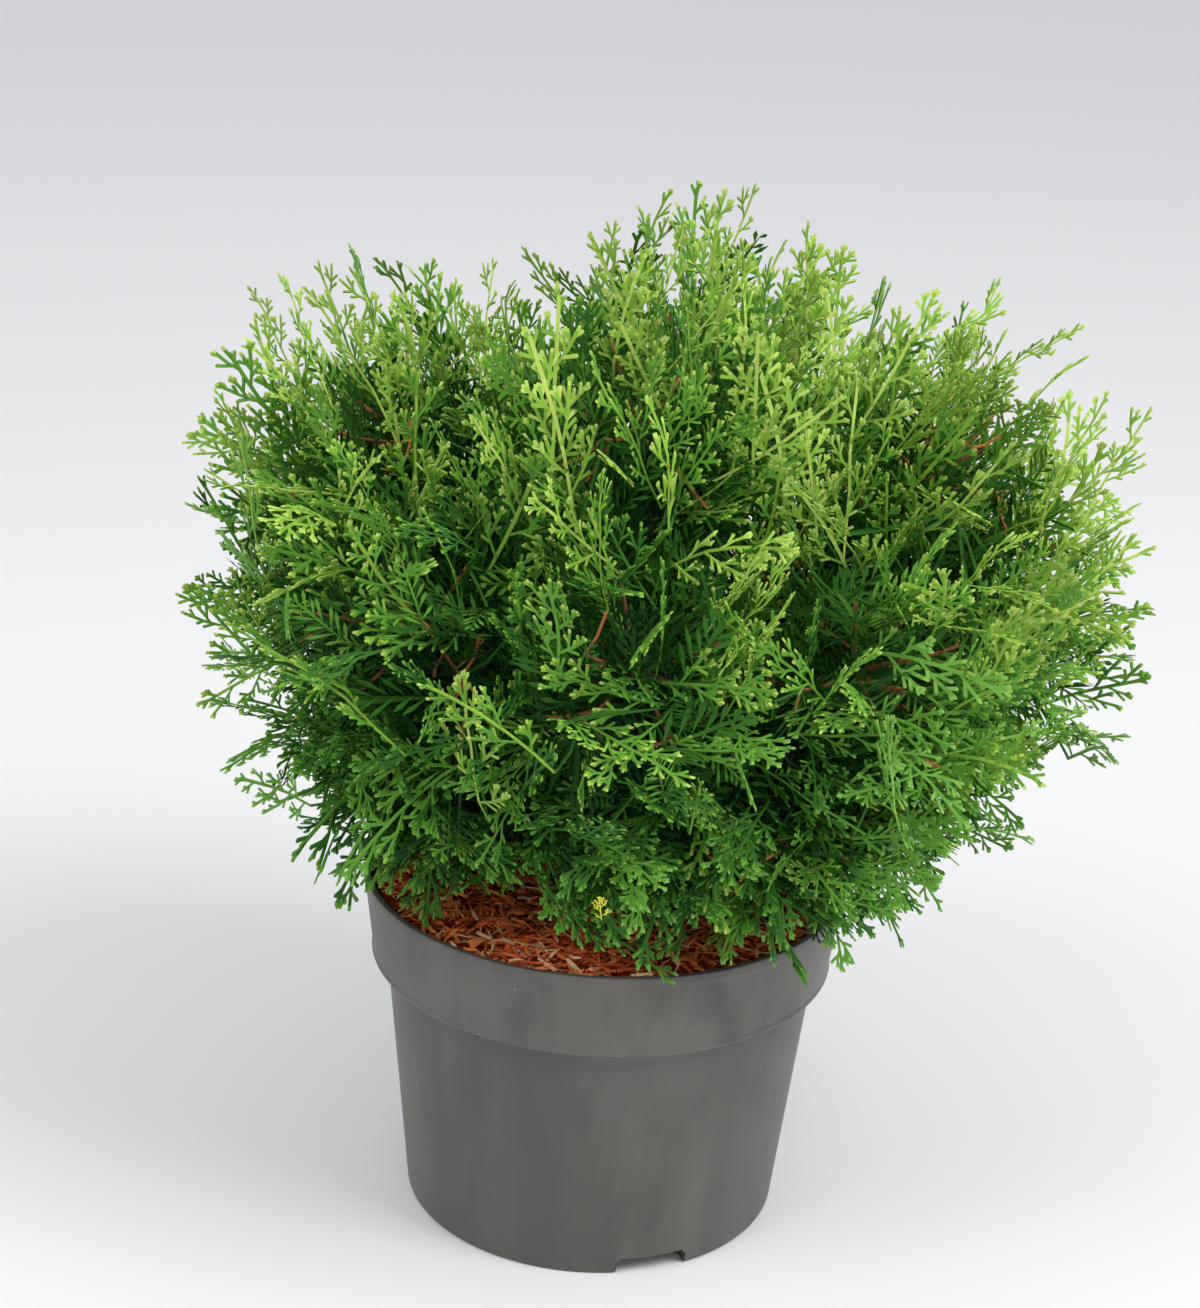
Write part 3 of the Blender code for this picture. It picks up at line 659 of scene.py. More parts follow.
def stem_point(share):
    """The stem's middle at a share of its height."""
    base = STEM_FOOT + Vector((0.0, 0.0, MULCH_EDGE_Z + MULCH_CROWN + SEAT_GAP))
    bend = STEM_LEAN * math.sin(share * math.pi * 0.5)
    return base + bend + Vector((0.0, 0.0, STEM_HEIGHT * share))


def stem_reach(share, angle):
    """How far the stem's bark lies from its middle: the taper, and the root flare's ribs."""
    taper = between(STEM_FOOT_RADIUS, STEM_TOP_RADIUS, share ** STEM_TAPER)
    fade = math.exp(-share * STEM_HEIGHT / FLARE_HEIGHT)
    rib = FLARE_LEVEL + FLARE_SWING * math.cos(angle * FLARE_RIBS + FLARE_TURN)
    return taper + FLARE_RADIUS * fade * rib


def bough_seat(share, side):
    """How far from the stem's middle a bough starts."""
    across = Vector((-side.y, side.x, 0.0))
    seat = 0.0
    for step in range(BOUGH_RIM_STEPS):
        turn = math.tau * step / BOUGH_RIM_STEPS
        rim_share = max(share + BOUGH_FOOT_RADIUS * math.sin(turn) / STEM_HEIGHT, 0.0)
        offset = across * BOUGH_FOOT_RADIUS * math.cos(turn)
        lean = stem_point(share) - stem_point(rim_share)
        rim = side * STEM_FOOT_RADIUS + offset
        reach = stem_reach(rim_share, math.atan2(rim.y, rim.x))
        seat = max(seat, math.sqrt(reach * reach - offset.length_squared) - lean.dot(side))
    return seat + SEAT_GAP


def curve_point(first, bend, last, share):
    """A point on the smooth curve from first to last that leans towards bend."""
    rest = 1.0 - share
    return first * rest * rest + bend * 2.0 * rest * share + last * share * share


def curve_path(first, bend, last, steps):
    """Points along the smooth curve from first to last."""
    return [curve_point(first, bend, last, step / steps) for step in range(steps + 1)]


def turned_way(way, lean, turn):
    """A way that leans off another by one angle and is turned about it by a second."""
    side = Matrix.Rotation(turn, 3, way) @ way.orthogonal().normalized()
    return (way * math.cos(lean) + side * math.sin(lean)).normalized()


def either_way(dice, reach):
    """A random number between minus and plus a reach."""
    return dice.uniform(-reach, reach)


class Mass:
    """One mass of foliage: its space, its bough and its twigs."""

    def __init__(self, index, row):
        self.index = index
        name, turn, out, up, self.size, self.tall = row
        self.name = "foliage_" + name
        self.middle = around(turn, out, up)
        self.dice = random.Random(FIRST_SEED + index)
        self.bough = self.bough_points(turn, up)
        self.heading = (self.middle - self.bough[0]).normalized()
        self.twigs = [self.twig_way(step) for step in range(TWIG_COUNT)]

    def bough_points(self, turn, up):
        """The bough's path from the stem's side to where it enters the mass."""
        share = share_of(up, *BOUGH_HEIGHTS) ** BOUGH_BUNCHING
        share = between(*BOUGH_SHARES, share) + BOUGH_STAGGER * (self.index % 2)
        side = Vector((math.sin(math.radians(turn)), -math.cos(math.radians(turn)), 0.0))
        foot = stem_point(share) + side * bough_seat(share, side)
        first = foot + side * BOUGH_STUB
        inward = (first - self.middle).normalized()
        last = self.middle + inward * self.size * BOUGH_END
        bend = first.lerp(last, 0.5)
        bend.z = between(first.z, last.z, BOUGH_RISE)
        return [foot] + curve_path(first, bend, last, BOUGH_POINTS - 1)

    def surface(self, way):
        """How far the mass reaches from its middle along a unit vector."""
        flat = math.hypot(way.x, way.y) / self.size
        rise = way.z / (self.size * self.tall)
        return 1.0 / math.hypot(flat, rise)

    def twig_way(self, step):
        """The way of one twig: spirals from the mass's heading back towards its bough."""
        share = (step + 0.5) / TWIG_COUNT
        lean = between(*TWIG_LEANS, share ** TWIG_BUNCHING)
        turn = math.radians(GOLDEN_TURN * step + TWIG_SPIN * self.index)
        turn += either_way(self.dice, TWIG_JITTER)
        return turned_way(self.heading, math.radians(lean), turn)


# Sprays

def bar_triangles(rings):
    """Triangles of a three-sided bar: rings from its foot, then its tip."""
    triangles = [(0, 1, 2)]
    for ring in range(rings - 1):
        for side in range(3):
            after = (side + 1) % 3
            low = ring * 3
            high = low + 3
            triangles += [(low + side, high + after, low + after), (low + side, high + side, high + after)]
    last = rings * 3 - 3
    for side in range(3):
        triangles.append((last + side, rings * 3, last + (side + 1) % 3))
    return np.array(triangles, dtype=np.int32)


BAR_TRIANGLES = {rings: bar_triangles(rings) for rings in (FINGER_RINGS, STALK_RINGS, AXIS_RINGS)}


class SprayMaker:
    """Builds one flat spray: its axis, alternate branchlets, their forks and blunt fingers."""

    def __init__(self, seed):
        self.dice = random.Random(seed)
        self.heap = Heap()

    def bar(self, start, angle, bend, length, width, rings, tone):
        """A slim blunt bar in the spray's plane that turns by the bend along its length."""
        up = np.array((0.0, 0.0, THICKNESS_SHARE))
        blunt = min(width * BLUNT_SHARES[0], length * BLUNT_SHARES[1])
        points = []
        for ring in range(rings):
            place = ring / (rings - 1)
            spot, heading = bar_spot(start, angle, bend, length, place * (1.0 - blunt / length))
            across = np.array((-math.sin(heading), math.cos(heading), 0.0))
            half = width * (0.5 - FOOT_NARROWING * (1.0 - place))
            points += [spot + across * half - up * half * 0.5, spot + up * half,
                       spot - across * half - up * half * 0.5]
        points.append(bar_spot(start, angle, bend, length, 1.0)[0])
        self.heap.add(np.array(points), BAR_TRIANGLES[rings], tone)

    def finger(self, spot, angle, length, tone):
        """A short straight bar."""
        self.bar(spot, angle, 0.0, length, FINGER_WIDTH, FINGER_RINGS, tone)

    def branchlet(self, start, angle, size, side, forks):
        """A stalk that curves forward, with fingers along its outer part and at its end."""
        dice = self.dice
        bend = -side * math.radians(STALK_BEND) * dice.uniform(*STALK_BEND_TRIM)
        self.bar(start, angle, bend, size, STALK_WIDTH, STALK_RINGS, 0)
        place = max(FIRST_FINGER[0], FIRST_FINGER[1] / size)
        hand = side
        while place * size < size - LAST_FINGER:
            spot, heading = bar_spot(start, angle, bend, size, place)
            lean = hand * math.radians(dice.uniform(*FINGER_LEAN))
            length = dice.uniform(*FINGER_LENGTH) * (FINGER_SHRINK[0] - FINGER_SHRINK[1] * place)
            self.finger(spot, heading + lean, length, 1 if dice.random() < place else 0)
            if dice.random() < SWAP_CHANCE:
                hand = -hand
            place += dice.uniform(*FINGER_SPACING) / size
        spot, heading = bar_spot(start, angle, bend, size, 1.0 - END_FINGER_BACK / size)
        for hand in (-1.0, 1.0):
            if dice.random() < END_FINGER_CHANCE:
                lean = hand * math.radians(dice.uniform(*END_FINGER_LEAN))
                self.finger(spot, heading + lean, dice.uniform(*END_FINGER_LENGTH), 1)
        self.finger(spot, heading, dice.uniform(*TIP_FINGER_LENGTH), 2)
        if forks and size > FORK_SIZE:
            place = dice.uniform(*FORK_PLACE)
            spot, heading = bar_spot(start, angle, bend, size, place)
            turned = heading - side * math.radians(dice.uniform(*FORK_TURN))
            self.branchlet(spot, turned, size * dice.uniform(*FORK_SHARE), -side, False)

    def spray(self, length, bare, spacing, reach_left, reach_right):
        """The whole spray of one kind, its arrays."""
        dice = self.dice
        bend = either_way(dice, SPRAY_BEND)
        start = np.zeros(3)
        self.bar(start, 0.0, bend, length, AXIS_WIDTH, AXIS_RINGS, 1 if bare > FAN[1] else 0)
        side = dice.choice((-1.0, 1.0))
        spot = length * bare
        while spot < length - SPRAY_END:
            place = spot / length
            reach = reach_left if side > 0.0 else reach_right
            size = length * reach * branchlet_share(place) * dice.uniform(*BRANCHLET_TRIM)
            foot, heading = bar_spot(start, 0.0, bend, length, place)
            lean = side * branchlet_lean(place, either_way(dice, BRANCHLET_LEAN[2]))
            self.branchlet(foot, heading + lean, max(size, LEAST_BRANCHLET), side, True)
            side = -side
            spot += spacing * dice.uniform(*SPACING_TRIM)
        back, size = LAST_BRANCHLET
        foot, heading = bar_spot(start, 0.0, bend, length, 1.0 - back / length)
        self.branchlet(foot, heading, size, side, False)
        return warped(self.heap, dice)

    def comb(self, length):
        """A simple flat spray for the crown's inside: thin blades in one plane."""
        self.blade(0.0, 0.0, length, COMB_BLADE_WIDTH * COMB_AXIS_SHARE, 0.0)
        side = 1.0
        for number in range(COMB_BLADES):
            place = (number + COMB_FIRST) / COMB_BLADES
            size = length * COMB_REACH * branchlet_share(place) * self.dice.uniform(*COMB_TRIM)
            angle = side * branchlet_lean(place, either_way(self.dice, COMB_JITTER))
            self.blade(place * length * COMB_FILL, angle, size, COMB_BLADE_WIDTH, side * COMB_LIFT)
            side = -side
        return warped(self.heap, self.dice)

    def blade(self, start, angle, size, width, height):
        """One pointed blade of two faces."""
        along = np.array((math.cos(angle), math.sin(angle), 0.0)) * size
        across = np.array((-math.sin(angle), math.cos(angle), 0.0)) * width * 0.5
        low = np.array((start, 0.0, height))
        shoulder = low + along * BLADE_SHOULDER
        points = np.array((low, shoulder - across, low + along, shoulder + across))
        self.heap.add(points, np.array(((0, 1, 2), (0, 2, 3))), 0)


def bar_spot(start, angle, bend, length, place):
    """The point and the heading at a share of a bar that turns evenly along its length."""
    middle = angle + bend * place * 0.5
    spot = start + np.array((math.cos(middle), math.sin(middle), 0.0)) * length * place
    return spot, angle + bend * place


def branchlet_share(place):
    """How long a side branchlet is for its place along the spray."""
    first, growth, taper = BRANCHLET_PROFILE
    return min(1.0, first + growth * place) * (1.0 - place) ** taper


def branchlet_lean(place, stray):
    """The angle of a side branchlet off the spray's axis, for its place and by some degrees of stray."""
    first, fall = BRANCHLET_LEAN[:2]
    return math.radians(first - fall * place + stray)


def warped(heap, dice):
    """The heap's arrays, with the spray's plane curled and cupped a little."""
    points = np.concatenate(heap.points)
    curl = either_way(dice, CURL)
    cup = either_way(dice, CUP)
    pitch, start, height = WAVE
    points[:, 2] += curl * points[:, 0] ** 2 + cup * points[:, 1] ** 2
    points[:, 2] += np.sin(points[:, 0] * pitch + dice.uniform(0.0, start)) * height
    return points, np.concatenate(heap.triangles), np.concatenate(heap.slots)


def in_box(point):
    """Whether a point lies inside the sides of the solids' box and below its top."""
    low, high = CAD_BOX
    beside = all(low[axis] + BOX_INSET < point[axis] < high[axis] - BOX_INSET for axis in range(2))
    return beside and point.z < high[2] - TOP_INSET


def clear_of_pot(point, fringe=RIM_CLEARANCE):
    """Whether a point is above the mulch inside the pot, and clear of its rim."""
    out = math.hypot(point.x, point.y)
    if out < RIM_RADIUS - RIM_INSIDE:
        return point.z > mulch_height(out) + fringe
    if out < RIM_RADIUS + RIM_OUTSIDE:
        return point.z > POT_HEIGHT + RIM_CLEARANCE
    return point.z > POT_HEIGHT + OUTER_CLEARANCE


def spray_colours(tip, depth, dice, dark):
    """The slots for a spray's tones, in painted light and shade: brighter up in the light and to the right,
    darker deep in its mass and in the inner layers, cooler down in the shade.
    """
    lift = (tip.z - LIGHT_HEIGHT) / LIGHT_SPAN
    level = TONE_LEVEL + PAINTED_LIGHT_LIFT * lift + PAINTED_LIGHT_RIGHT * max(tip.x, 0.0) - PAINTED_SHADE_DEPTH * (1.0 - depth)
    level += either_way(dice, TONE_JITTER) - dark * PAINTED_SHADE_LAYER
    first = int(min(max(round(level), 0), LAST_TONE))
    ladder = WARM_LADDER if dice.random() < WARM_SHARE + WARM_LIFT * lift else COOL_SHADE_LADDER
    return ladder[first:first + TONES_OF_EACH]


def nearest_on(paths, point):
    """The point on the twigs' paths that lies nearest to a point."""
    places = [place for path in paths for place in path[1:]]
    return min(places, key=lambda place: (place - point).length)


def spread_way(number, count, dice):
    """One of many ways spread evenly over a sphere."""
    height = 1.0 - 2.0 * (number + 0.5) / count
    turn = math.radians(GOLDEN_TURN) * number + either_way(dice, SPREAD_JITTER)
    flat = math.sqrt(1.0 - height * height)
    return Vector((flat * math.cos(turn), flat * math.sin(turn), height))


def hidden(mass, masses, tip):
    """Whether a tip lies well inside another mass, where it doesn't show."""
    for other in masses:
        way = tip - other.middle
        reach = other.surface(way.normalized()) * MASS_REACH * HIDDEN_SHARE
        if other is not mass and way.length < reach:
            return True
    return False


def grow_twigs(mass):
    """The leader that goes on from the bough and the twigs that fork from it."""
    fork = mass.middle + (mass.bough[-1] - mass.middle) * TWIG_FORK
    tip = mass.middle + mass.heading * mass.size * LEADER_END
    limbs = [curve_path(mass.bough[-1], fork, tip, TWIG_STEPS)]
    sag = Vector((0.0, 0.0, TWIG_SAG))
    for way in mass.twigs:
        end = mass.middle + way * mass.surface(way) * TWIG_REACH
        limbs.append(curve_path(fork, fork.lerp(end, 0.5) - sag, end, TWIG_STEPS))
    return limbs


def grow_layer(mass, masses, layer, dice):
    """The sprays of one layer of a mass, each grown back from where its tip should lie.

    Each is a row of its root, way, roll, scale, kind, slots and how much it arches over.
    """
    tries, low, high, dark = layer
    level = share_of(mass.middle.z, *LEVEL_HEIGHTS)
    tries = round(tries * (1.0 - TOP_OPENNESS * level))
    places = []
    for number in range(tries):
        way = spread_way(number, tries, dice)
        group = spray_group(dark, level, dice)
        depth = dice.uniform(low, high)
        if group == LEADER_GROUP:
            depth += LEADER_STRETCH * level
        tip = mass.middle + way * mass.surface(way) * MASS_REACH * depth
        if dark == 0 and hidden(mass, masses, tip):
            continue
        flow = (tip - FLOW_SOURCE).normalized() * FLOW_SHARE + way * (1.0 - FLOW_SHARE)
        lift = Vector((0.0, 0.0, between(*LIFTS, level)))
        swing = Vector((-flow.y, flow.x, 0.0)) * dice.gauss(0.0, SIDE_SWING * (1.0 - level))
        stray = Vector([dice.gauss(0.0, 1.0) for _ in range(3)]).normalized() * FLOW_SPREAD
        aim = (flow + lift + swing + stray).normalized()
        scale = dice.uniform(*SPRAY_SCALE)
        droop = between(*DROOPS, level) + either_way(dice, DROOP_JITTER)
        length = SPRAY_LENGTHS[group] * scale
        sag = Vector((0.0, 0.0, droop * length * length))
        root = tip - aim * length + sag
        halfway = root + aim * length * HALFWAY - sag * HALFWAY ** 2
        colours = spray_colours(tip, depth, dice, dark)
        roll = spray_roll(group, level, dice)
        kind = group * KINDS_OF_EACH + dice.randrange(KINDS_OF_EACH)
        low_enough = clear_of_pot(tip, dice.uniform(*FRINGE))
        if low_enough and in_box(tip) and clear_of_pot(root) and clear_of_pot(halfway):
            places.append((root, aim, roll, scale, kind, colours, droop))
    return places


def spray_group(dark, level, dice):
    """Which group of sprays is used: fans, leaders or hanging ones outside, combs inside."""
    if dark:
        return COMB_GROUP
    first, rise = LEADER_LEVELS
    if dice.random() < LEADER_CHANCE * (first + rise * level):
        return LEADER_GROUP
    return HANGING_GROUP if dice.random() < HANGING_CHANCE * (1.0 - level) else FAN_GROUP


def spray_roll(group, level, dice):
    """How a spray's plane is turned about its axis: flat low down, upright when it hangs."""
    if group == HANGING_GROUP:
        return -math.pi * 0.5 + either_way(dice, HANGING_SWING)
    if dice.random() < level:
        return dice.uniform(0.0, math.tau)
    return dice.gauss(0.0, FLAT_ROLL)


def spray_kinds():
    """All the made sprays: fans, leaders, hanging ones, then combs."""
    kinds = []
    for first, sizes in zip(KIND_SEEDS, (FAN, LEADER, HANGING)):
        kinds += [SprayMaker(first + number).spray(*sizes) for number in range(KINDS_OF_EACH)]
    kinds += [SprayMaker(COMB_SEED + number).comb(COMB_LENGTH) for number in range(KINDS_OF_EACH)]
    return kinds


def foliage_mesh(name, places, kinds, twigs, dice):
    """One mesh of all the sprays of a mass and the shoots that carry them."""
    heap = Heap()
    for root, way, roll, scale, kind, colours, droop in places:
        points, triangles, tones = kinds[kind]
        turn = way.to_track_quat("X", "Z").to_matrix() @ Matrix.Rotation(roll, 3, "X")
        placed = points @ np.array(turn * scale).T + np.array(root)
        placed[:, 2] -= droop * (points[:, 0] * scale) ** 2
        heap.add(placed, triangles, np.array(colours)[tones])
        spot = nearest_on(twigs, root)
        path = curve_path(spot, spot.lerp(root, 0.5) - way * SHOOT_BEND, root, 2)
        short = (spot - root).length < RUST_LENGTH
        rusty = dice.random() < RUST_CHANCE and short
        # Unless rusty, a shoot takes the deep or shade green, one step darker than its spray: painted shade
        # inside the crown
        colour = RUST_SLOT if rusty else max(min(colours[0], LAST_SHADE) - 1, 0)
        heap.add(*tube(path, (SHOOT_RADIUS,) * len(path), SHOOT_SIDES), colour)
    return heap.mesh(name)


# Pieces

def smooth_profile(corners, radius):
    """A section's outline with each inner corner rounded by a short curve."""
    outline = [corners[0]]
    for before, corner, after in zip(corners, corners[1:], corners[2:]):
        corner = Vector(corner)
        ends = []
        for neighbour in (before, after):
            way = Vector(neighbour) - corner
            ends.append(corner + way.normalized() * min(radius, way.length * EDGE_LIMIT))
        outline += [tuple(point) for point in curve_path(ends[0], corner, ends[1], EDGE_STEPS)]
    outline.append(corners[-1])
    return outline


def pot_outline():
    """The pot's section: down its outer side, across the underside and up its inner side."""
    corners = [
        (RIM_RADIUS - LIP * 0.5, POT_HEIGHT),
        (RIM_RADIUS, POT_HEIGHT),
        (RIM_RADIUS, POT_HEIGHT - RIM_BAND),
        (RIM_RADIUS - RIM_BAND_STEP, POT_HEIGHT - RIM_BAND - RIM_BAND_STEP),
    ]
    corners += [(COLLAR_FOOT_RADIUS + out, COLLAR_FOOT_Z + up) for out, up in BEAD]
    corners += [(BODY_TOP_RADIUS + out, BODY_TOP_Z + up) for out, up in SHOULDER]
    corners += [(FOOT_RADIUS, FOOT_CHAMFER[1]), (FOOT_RADIUS - FOOT_CHAMFER[0], 0.0), (0.0, 0.0)]
    inner = (
        (0.0, FLOOR),
        (FOOT_RADIUS - WALL, FLOOR),
        (BODY_TOP_RADIUS - WALL, BODY_TOP_Z - WALL),
        (COLLAR_FOOT_RADIUS - WALL - COLLAR_INSET, COLLAR_FOOT_Z + COLLAR_INSET),
        (RIM_RADIUS - LIP, POT_HEIGHT - LIP_DEPTH),
        (RIM_RADIUS - LIP, POT_HEIGHT),
        (RIM_RADIUS - LIP * 0.5, POT_HEIGHT),
    )
    return smooth_profile(corners, EDGE) + smooth_profile(inner, INNER_EDGE)[:-1]


def turned_mesh(name, outline):
    """A turned mesh from a closed section."""
    shape = bmesh.new()
    verts = [shape.verts.new((x, 0.0, z)) for x, z in outline]
    edges = [shape.edges.new(pair) for pair in zip(verts, verts[1:] + verts[:1])
             if not (pair[0].co.x == 0.0 and pair[1].co.x == 0.0)]
    bmesh.ops.spin(shape, geom=verts + edges, cent=(0, 0, 0), axis=(0, 0, 1), dvec=(0, 0, 0),
                   angle=math.tau, steps=POT_STEPS, use_merge=True)
    bmesh.ops.remove_doubles(shape, verts=shape.verts, dist=MERGE_DISTANCE)
    bmesh.ops.recalc_face_normals(shape, faces=shape.faces)
    return shape_mesh(name, shape)


def box_object(name, low, high, spin):
    """A box with rounded edges as a cutter, turned about the pot's axis."""
    shape = bmesh.new()
    bmesh.ops.create_cube(shape, size=1.0)
    size = Vector(high) - Vector(low)
    middle = (Vector(low) + Vector(high)) * 0.5
    place = Matrix.Translation(middle) @ Matrix.Diagonal((*size, 1.0))
    bmesh.ops.transform(shape, matrix=spin @ place, verts=shape.verts)
    bmesh.ops.bevel(shape, geom=shape.edges[:], offset=NOTCH_EDGE, segments=EDGE_STEPS, affect="EDGES")
    return add_object(name, shape_mesh(name, shape))


def cut_mesh(piece, tool, operation):
    """Applies one Boolean to a piece's mesh and removes the tool."""
    modifier = piece.modifiers.new("cut", "BOOLEAN")
    modifier.operation = operation
    modifier.object = tool
    modifier.solver = "EXACT"
    bpy.context.view_layer.update()
    graph = bpy.context.evaluated_depsgraph_get()
    mesh = bpy.data.meshes.new_from_object(piece.evaluated_get(graph))
    piece.modifiers.clear()
    piece.data = mesh
    bpy.data.objects.remove(tool)


def make_pot():
    """The pot with its rounded lip, stepped collar and moulded drainage notches."""
    mesh = turned_mesh("pot_shell", pot_outline())
    pot = add_piece("pot_shell", mesh, [pot_material()])
    for index in range(NOTCH_COUNT):
        turn = NOTCH_FIRST_TURN + index * 360.0 / NOTCH_COUNT
        spin = Matrix.Rotation(math.radians(turn - 90.0), 4, "Z")
        inner = FOOT_RADIUS - NOTCH_DEPTH
        half = NOTCH_WIDTH * 0.5
        skin = NOTCH_SKIN
        pocket = box_object("pocket", (inner - skin, -half - skin, FLOOR * POCKET_FOOT),
                            (FOOT_RADIUS - WALL * 0.5, half + skin, NOTCH_HEIGHT + skin), spin)
        cut_mesh(pot, pocket, "UNION")
        notch = box_object("notch", (inner, -half, -NOTCH_DROP),
                           (FOOT_RADIUS + NOTCH_OVERRUN, half, NOTCH_HEIGHT), spin)
        cut_mesh(pot, notch, "DIFFERENCE")
    pot.data.shade_smooth()
    pot.data.set_sharp_from_angle(angle=math.radians(SHARP_ANGLE))
    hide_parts("pot")


def mulch_height(radius):
    """The mulch's height: flat under the stem, then falling to the pot's wall."""
    share = share_of(radius, MULCH_FLAT_RADIUS, MULCH_RADIUS)
    return MULCH_EDGE_Z + MULCH_CROWN * (1.0 - share * share)


def shred(dice):
    """One splinter of bark, its points and triangles, and its length."""
    (shortest, longest), (thinnest, widest) = dice.choices(SHRED_SIZES, SHRED_SIZE_SHARES)[0]
    length = dice.uniform(shortest, longest)
    width = dice.uniform(thinnest, widest)
    bend = either_way(dice, SHRED_BEND) * length
    half = length * 0.5
    path = [(-half, 0.0, 0.0), (0.0, bend, dice.uniform(*SHRED_ARCH) * length), (half, 0.0, 0.0)]
    radii = [width * dice.uniform(*SHRED_FOOT_GIRTH), width * 0.5, width * dice.uniform(*SHRED_TIP_GIRTH)]
    points, triangles = tube(path, radii, SHRED_SIDES)
    points[:, 2] *= SHRED_FLATNESS
    return points, triangles, length


def mulch_ground():
    """The lumpy ground under the splinters, dark with painted shade, its points and triangles."""
    ground = [Vector((0.0, 0.0, mulch_height(0.0)))]
    for ring in range(1, MULCH_RINGS + 1):
        radius = MULCH_RADIUS * ring / MULCH_RINGS
        for side in range(MULCH_SIDES):
            angle = math.tau * side / MULCH_SIDES
            spot = Vector((radius * math.cos(angle), radius * math.sin(angle), 0.0))
            lump = sum(noise.noise(spot * scale) * size for scale, size in GROUND_LUMPS)
            spot.z = mulch_height(radius) - GROUND_SINK + lump
            ground.append(spot)
    ground.append(Vector((0.0, 0.0, MULCH_EDGE_Z - MULCH_DEPTH)))
    return np.array([tuple(point) for point in ground]), ring_triangles(MULCH_RINGS, MULCH_SIDES)[:, ::-1]


def make_mulch():
    """A bed of shredded bark: many splinters strewn over the ground."""
    dice = random.Random(MULCH_SEED)
    heap = Heap()
    heap.add(*mulch_ground(), GROUND_SHADE_SLOT)
    for _ in range(SHRED_COUNT):
        points, triangles, length = shred(dice)
        radius = (MULCH_RADIUS - length * SHRED_WALL_SHARE) * math.sqrt(dice.random())
        angle = dice.uniform(0.0, math.tau)
        spot = Vector((radius * math.cos(angle), radius * math.sin(angle), mulch_height(radius)))
        spot.z += dice.uniform(*SHRED_RISE)
        pitch = Matrix.Rotation(dice.gauss(0.0, SHRED_PITCH), 3, "Y")
        tilt = pitch @ Matrix.Rotation(dice.gauss(0.0, SHRED_ROLL), 3, "X")
        spin = np.array(Matrix.Rotation(dice.uniform(0.0, math.tau), 3, "Z") @ tilt)
        tone = dice.choices(range(len(SHRED_SHARES)), SHRED_SHARES)[0]
        heap.add(points @ spin.T + np.array(spot), triangles, tone)
    materials = [grown_material(name, colour, SHRED_FINISH) for name, colour in SHRED_COLOURS]
    piece = add_piece("bark_shreds", heap.mesh("bark_shreds"), materials)
    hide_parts("mulch")


def make_stem(bark):
    """The stem with its stringy bark relief and root flare."""
    points = [stem_point(0.0)]
    for ring in range(STEM_RINGS):
        share = (ring / (STEM_RINGS - 1)) ** STEM_BUNCHING
        middle = stem_point(share)
        for side in range(STEM_SIDES):
            angle = math.tau * side / STEM_SIDES
            way = Vector((math.cos(angle), math.sin(angle), 0.0))
            ridge = noise.noise(way * RIDGE_PITCH[0] + Vector((0.0, 0.0, share * RIDGE_PITCH[1])))
            points.append(middle + way * stem_reach(share, angle) * (1.0 + RIDGE_RELIEF * ridge))
    points.append(stem_point(1.0))
    heap = Heap()
    heap.add(np.array([tuple(point) for point in points]), ring_triangles(STEM_RINGS, STEM_SIDES), 0)
    piece = add_piece("stem_bark", heap.mesh("stem_bark", smooth=True), [bark])
    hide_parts("stem")


def limb_path(points):
    """A path of many points through a limb's few."""
    path = []
    count = len(points) - 1
    for step in range(BOUGH_STEPS + 1):
        place = step / BOUGH_STEPS * count
        index = min(int(place), count - 1)
        path.append(points[index].lerp(points[index + 1], place - index))
    return path


def make_boughs(masses, bark):
    """All the boughs as tapering knotty limbs."""
    dice = random.Random(BOUGH_SEED)
    heap = Heap()
    for mass in masses:
        path = limb_path(mass.bough)
        radii = []
        for step in range(BOUGH_STEPS + 1):
            radius = between(BOUGH_FOOT_RADIUS, BOUGH_TIP_RADIUS, step / BOUGH_STEPS)
            radii.append(radius * dice.uniform(*BOUGH_KNOTS))
        heap.add(*tube(path, radii, BOUGH_SIDES), 0)
    piece = add_piece("bough_bark", heap.mesh("bough_bark", smooth=True), [bark])
    names = [mass.name.replace("foliage", "bough") for mass in masses]
    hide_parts(*names)


def make_foliage(masses, bark):
    """The sprays of every mass, a piece for each, and all the twigs as one piece."""
    kinds = spray_kinds()
    materials = [grown_material(name, colour, LEAF_FINISH) for name, colour in LEAF_COLOURS]
    materials.append(grown_material("twig_bark", TWIG_BARK_COLOUR, BARK_FINISH))
    heap = Heap()
    for mass in masses:
        dice = random.Random(SPRAY_SEED + mass.index)
        twigs = grow_twigs(mass)
        places = []
        for layer in (OUTER_LAYER, MIDDLE_LAYER, INNER_LAYER):
            places += grow_layer(mass, masses, layer, dice)
        if mass.name == SPRIG_MASS:
            places.append((SPRIG_ROOT, SPRIG_WAY, 0.0, SPRIG_SCALE, 0, GOLD_TONES, 0.0))
        for number, path in enumerate(twigs):
            thick = LEADER_RADIUS if number == 0 else TWIG_RADIUS
            radii = [between(thick, SHOOT_RADIUS, step / TWIG_STEPS) for step in range(TWIG_STEPS + 1)]
            heap.add(*tube(path, radii, TWIG_SIDES), 0)
        name = mass.name.replace("foliage", "sprays")
        mesh = foliage_mesh(name, places, kinds, twigs, dice)
        piece = add_piece(name, mesh, materials)
        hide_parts(mass.name)
    piece = add_piece("twigs", heap.mesh("twigs", smooth=True), [bark])


# Studio

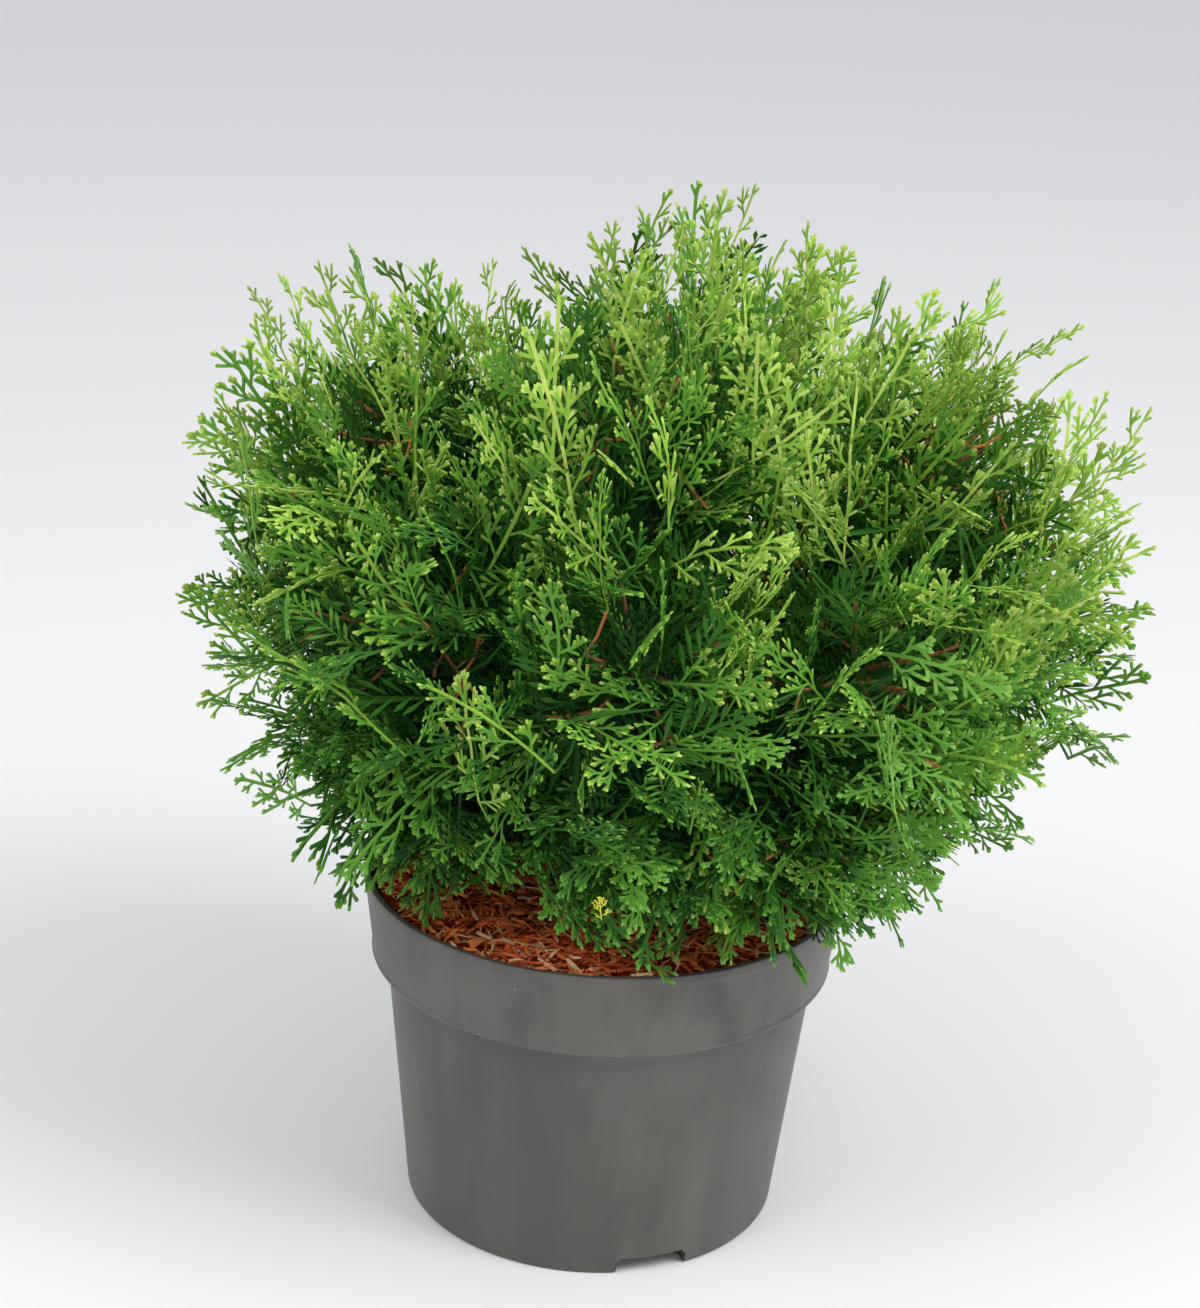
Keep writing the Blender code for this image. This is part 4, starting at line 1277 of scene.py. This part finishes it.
def make_studio():
    """A pale floor, soft light from above and in front, and a pale surround."""
    shape = bmesh.new()
    bmesh.ops.create_circle(shape, cap_ends=True, radius=FLOOR_RADIUS, segments=FLOOR_SIDES)
    mesh = shape_mesh("floor", shape)
    mesh.materials.append(shader_material("floor", FLOOR_COLOUR, *FLOOR_GLOSS)[0])
    floor = add_object("floor", mesh)
    world = bpy.data.worlds.new("studio")
    world.use_nodes = True
    sky = world.node_tree.nodes["Background"]
    sky.inputs["Color"].default_value = (*WORLD_COLOUR, 1.0)
    sky.inputs["Strength"].default_value = WORLD_STRENGTH
    bpy.context.scene.world = world
    for light in LIGHTS:
        add_light(*light)


def add_light(name, spot, size, power):
    """A square soft light that faces the crown."""
    light = bpy.data.lights.new(name, "AREA")
    light.size = size
    light.energy = power
    lamp = add_object(name, light)
    lamp.location = spot
    way = CROWN_MIDDLE - Vector(spot)
    lamp.rotation_euler = way.to_track_quat("-Z", "Y").to_euler()


def make_camera():
    """The camera at the photograph's place, pitch and roll."""
    lens = bpy.data.cameras.new("camera")
    lens.sensor_fit = "AUTO"
    lens.sensor_width = SENSOR
    lens.lens = FOCAL_PIXELS * SENSOR / PHOTO_HEIGHT
    lens.clip_end = VIEW_END
    camera = add_object("camera", lens)
    pitch = Matrix.Rotation(math.radians(90.0 - CAMERA_PITCH), 4, "X")
    roll = Matrix.Rotation(math.radians(CAMERA_ROLL), 4, "Z")
    camera.matrix_world = Matrix.Translation(CAMERA_SPOT) @ pitch @ roll
    bpy.context.scene.camera = camera


def main():
    """Makes the studio, then every piece of the plant."""
    bpy.context.scene.view_settings.view_transform = "Standard"
    make_camera()
    make_studio()
    bark = grown_material("bark", BARK_COLOUR, BARK_FINISH)
    masses = [Mass(index, row) for index, row in enumerate(MASSES)]
    make_pot()
    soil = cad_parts["root_ball"]
    soil.data.materials.clear()
    soil.data.materials.append(grown_material("soil", SOIL_COLOUR, SOIL_FINISH))
    make_mulch()
    make_stem(bark)
    make_boughs(masses, bark)
    make_foliage(masses, bark)


main()
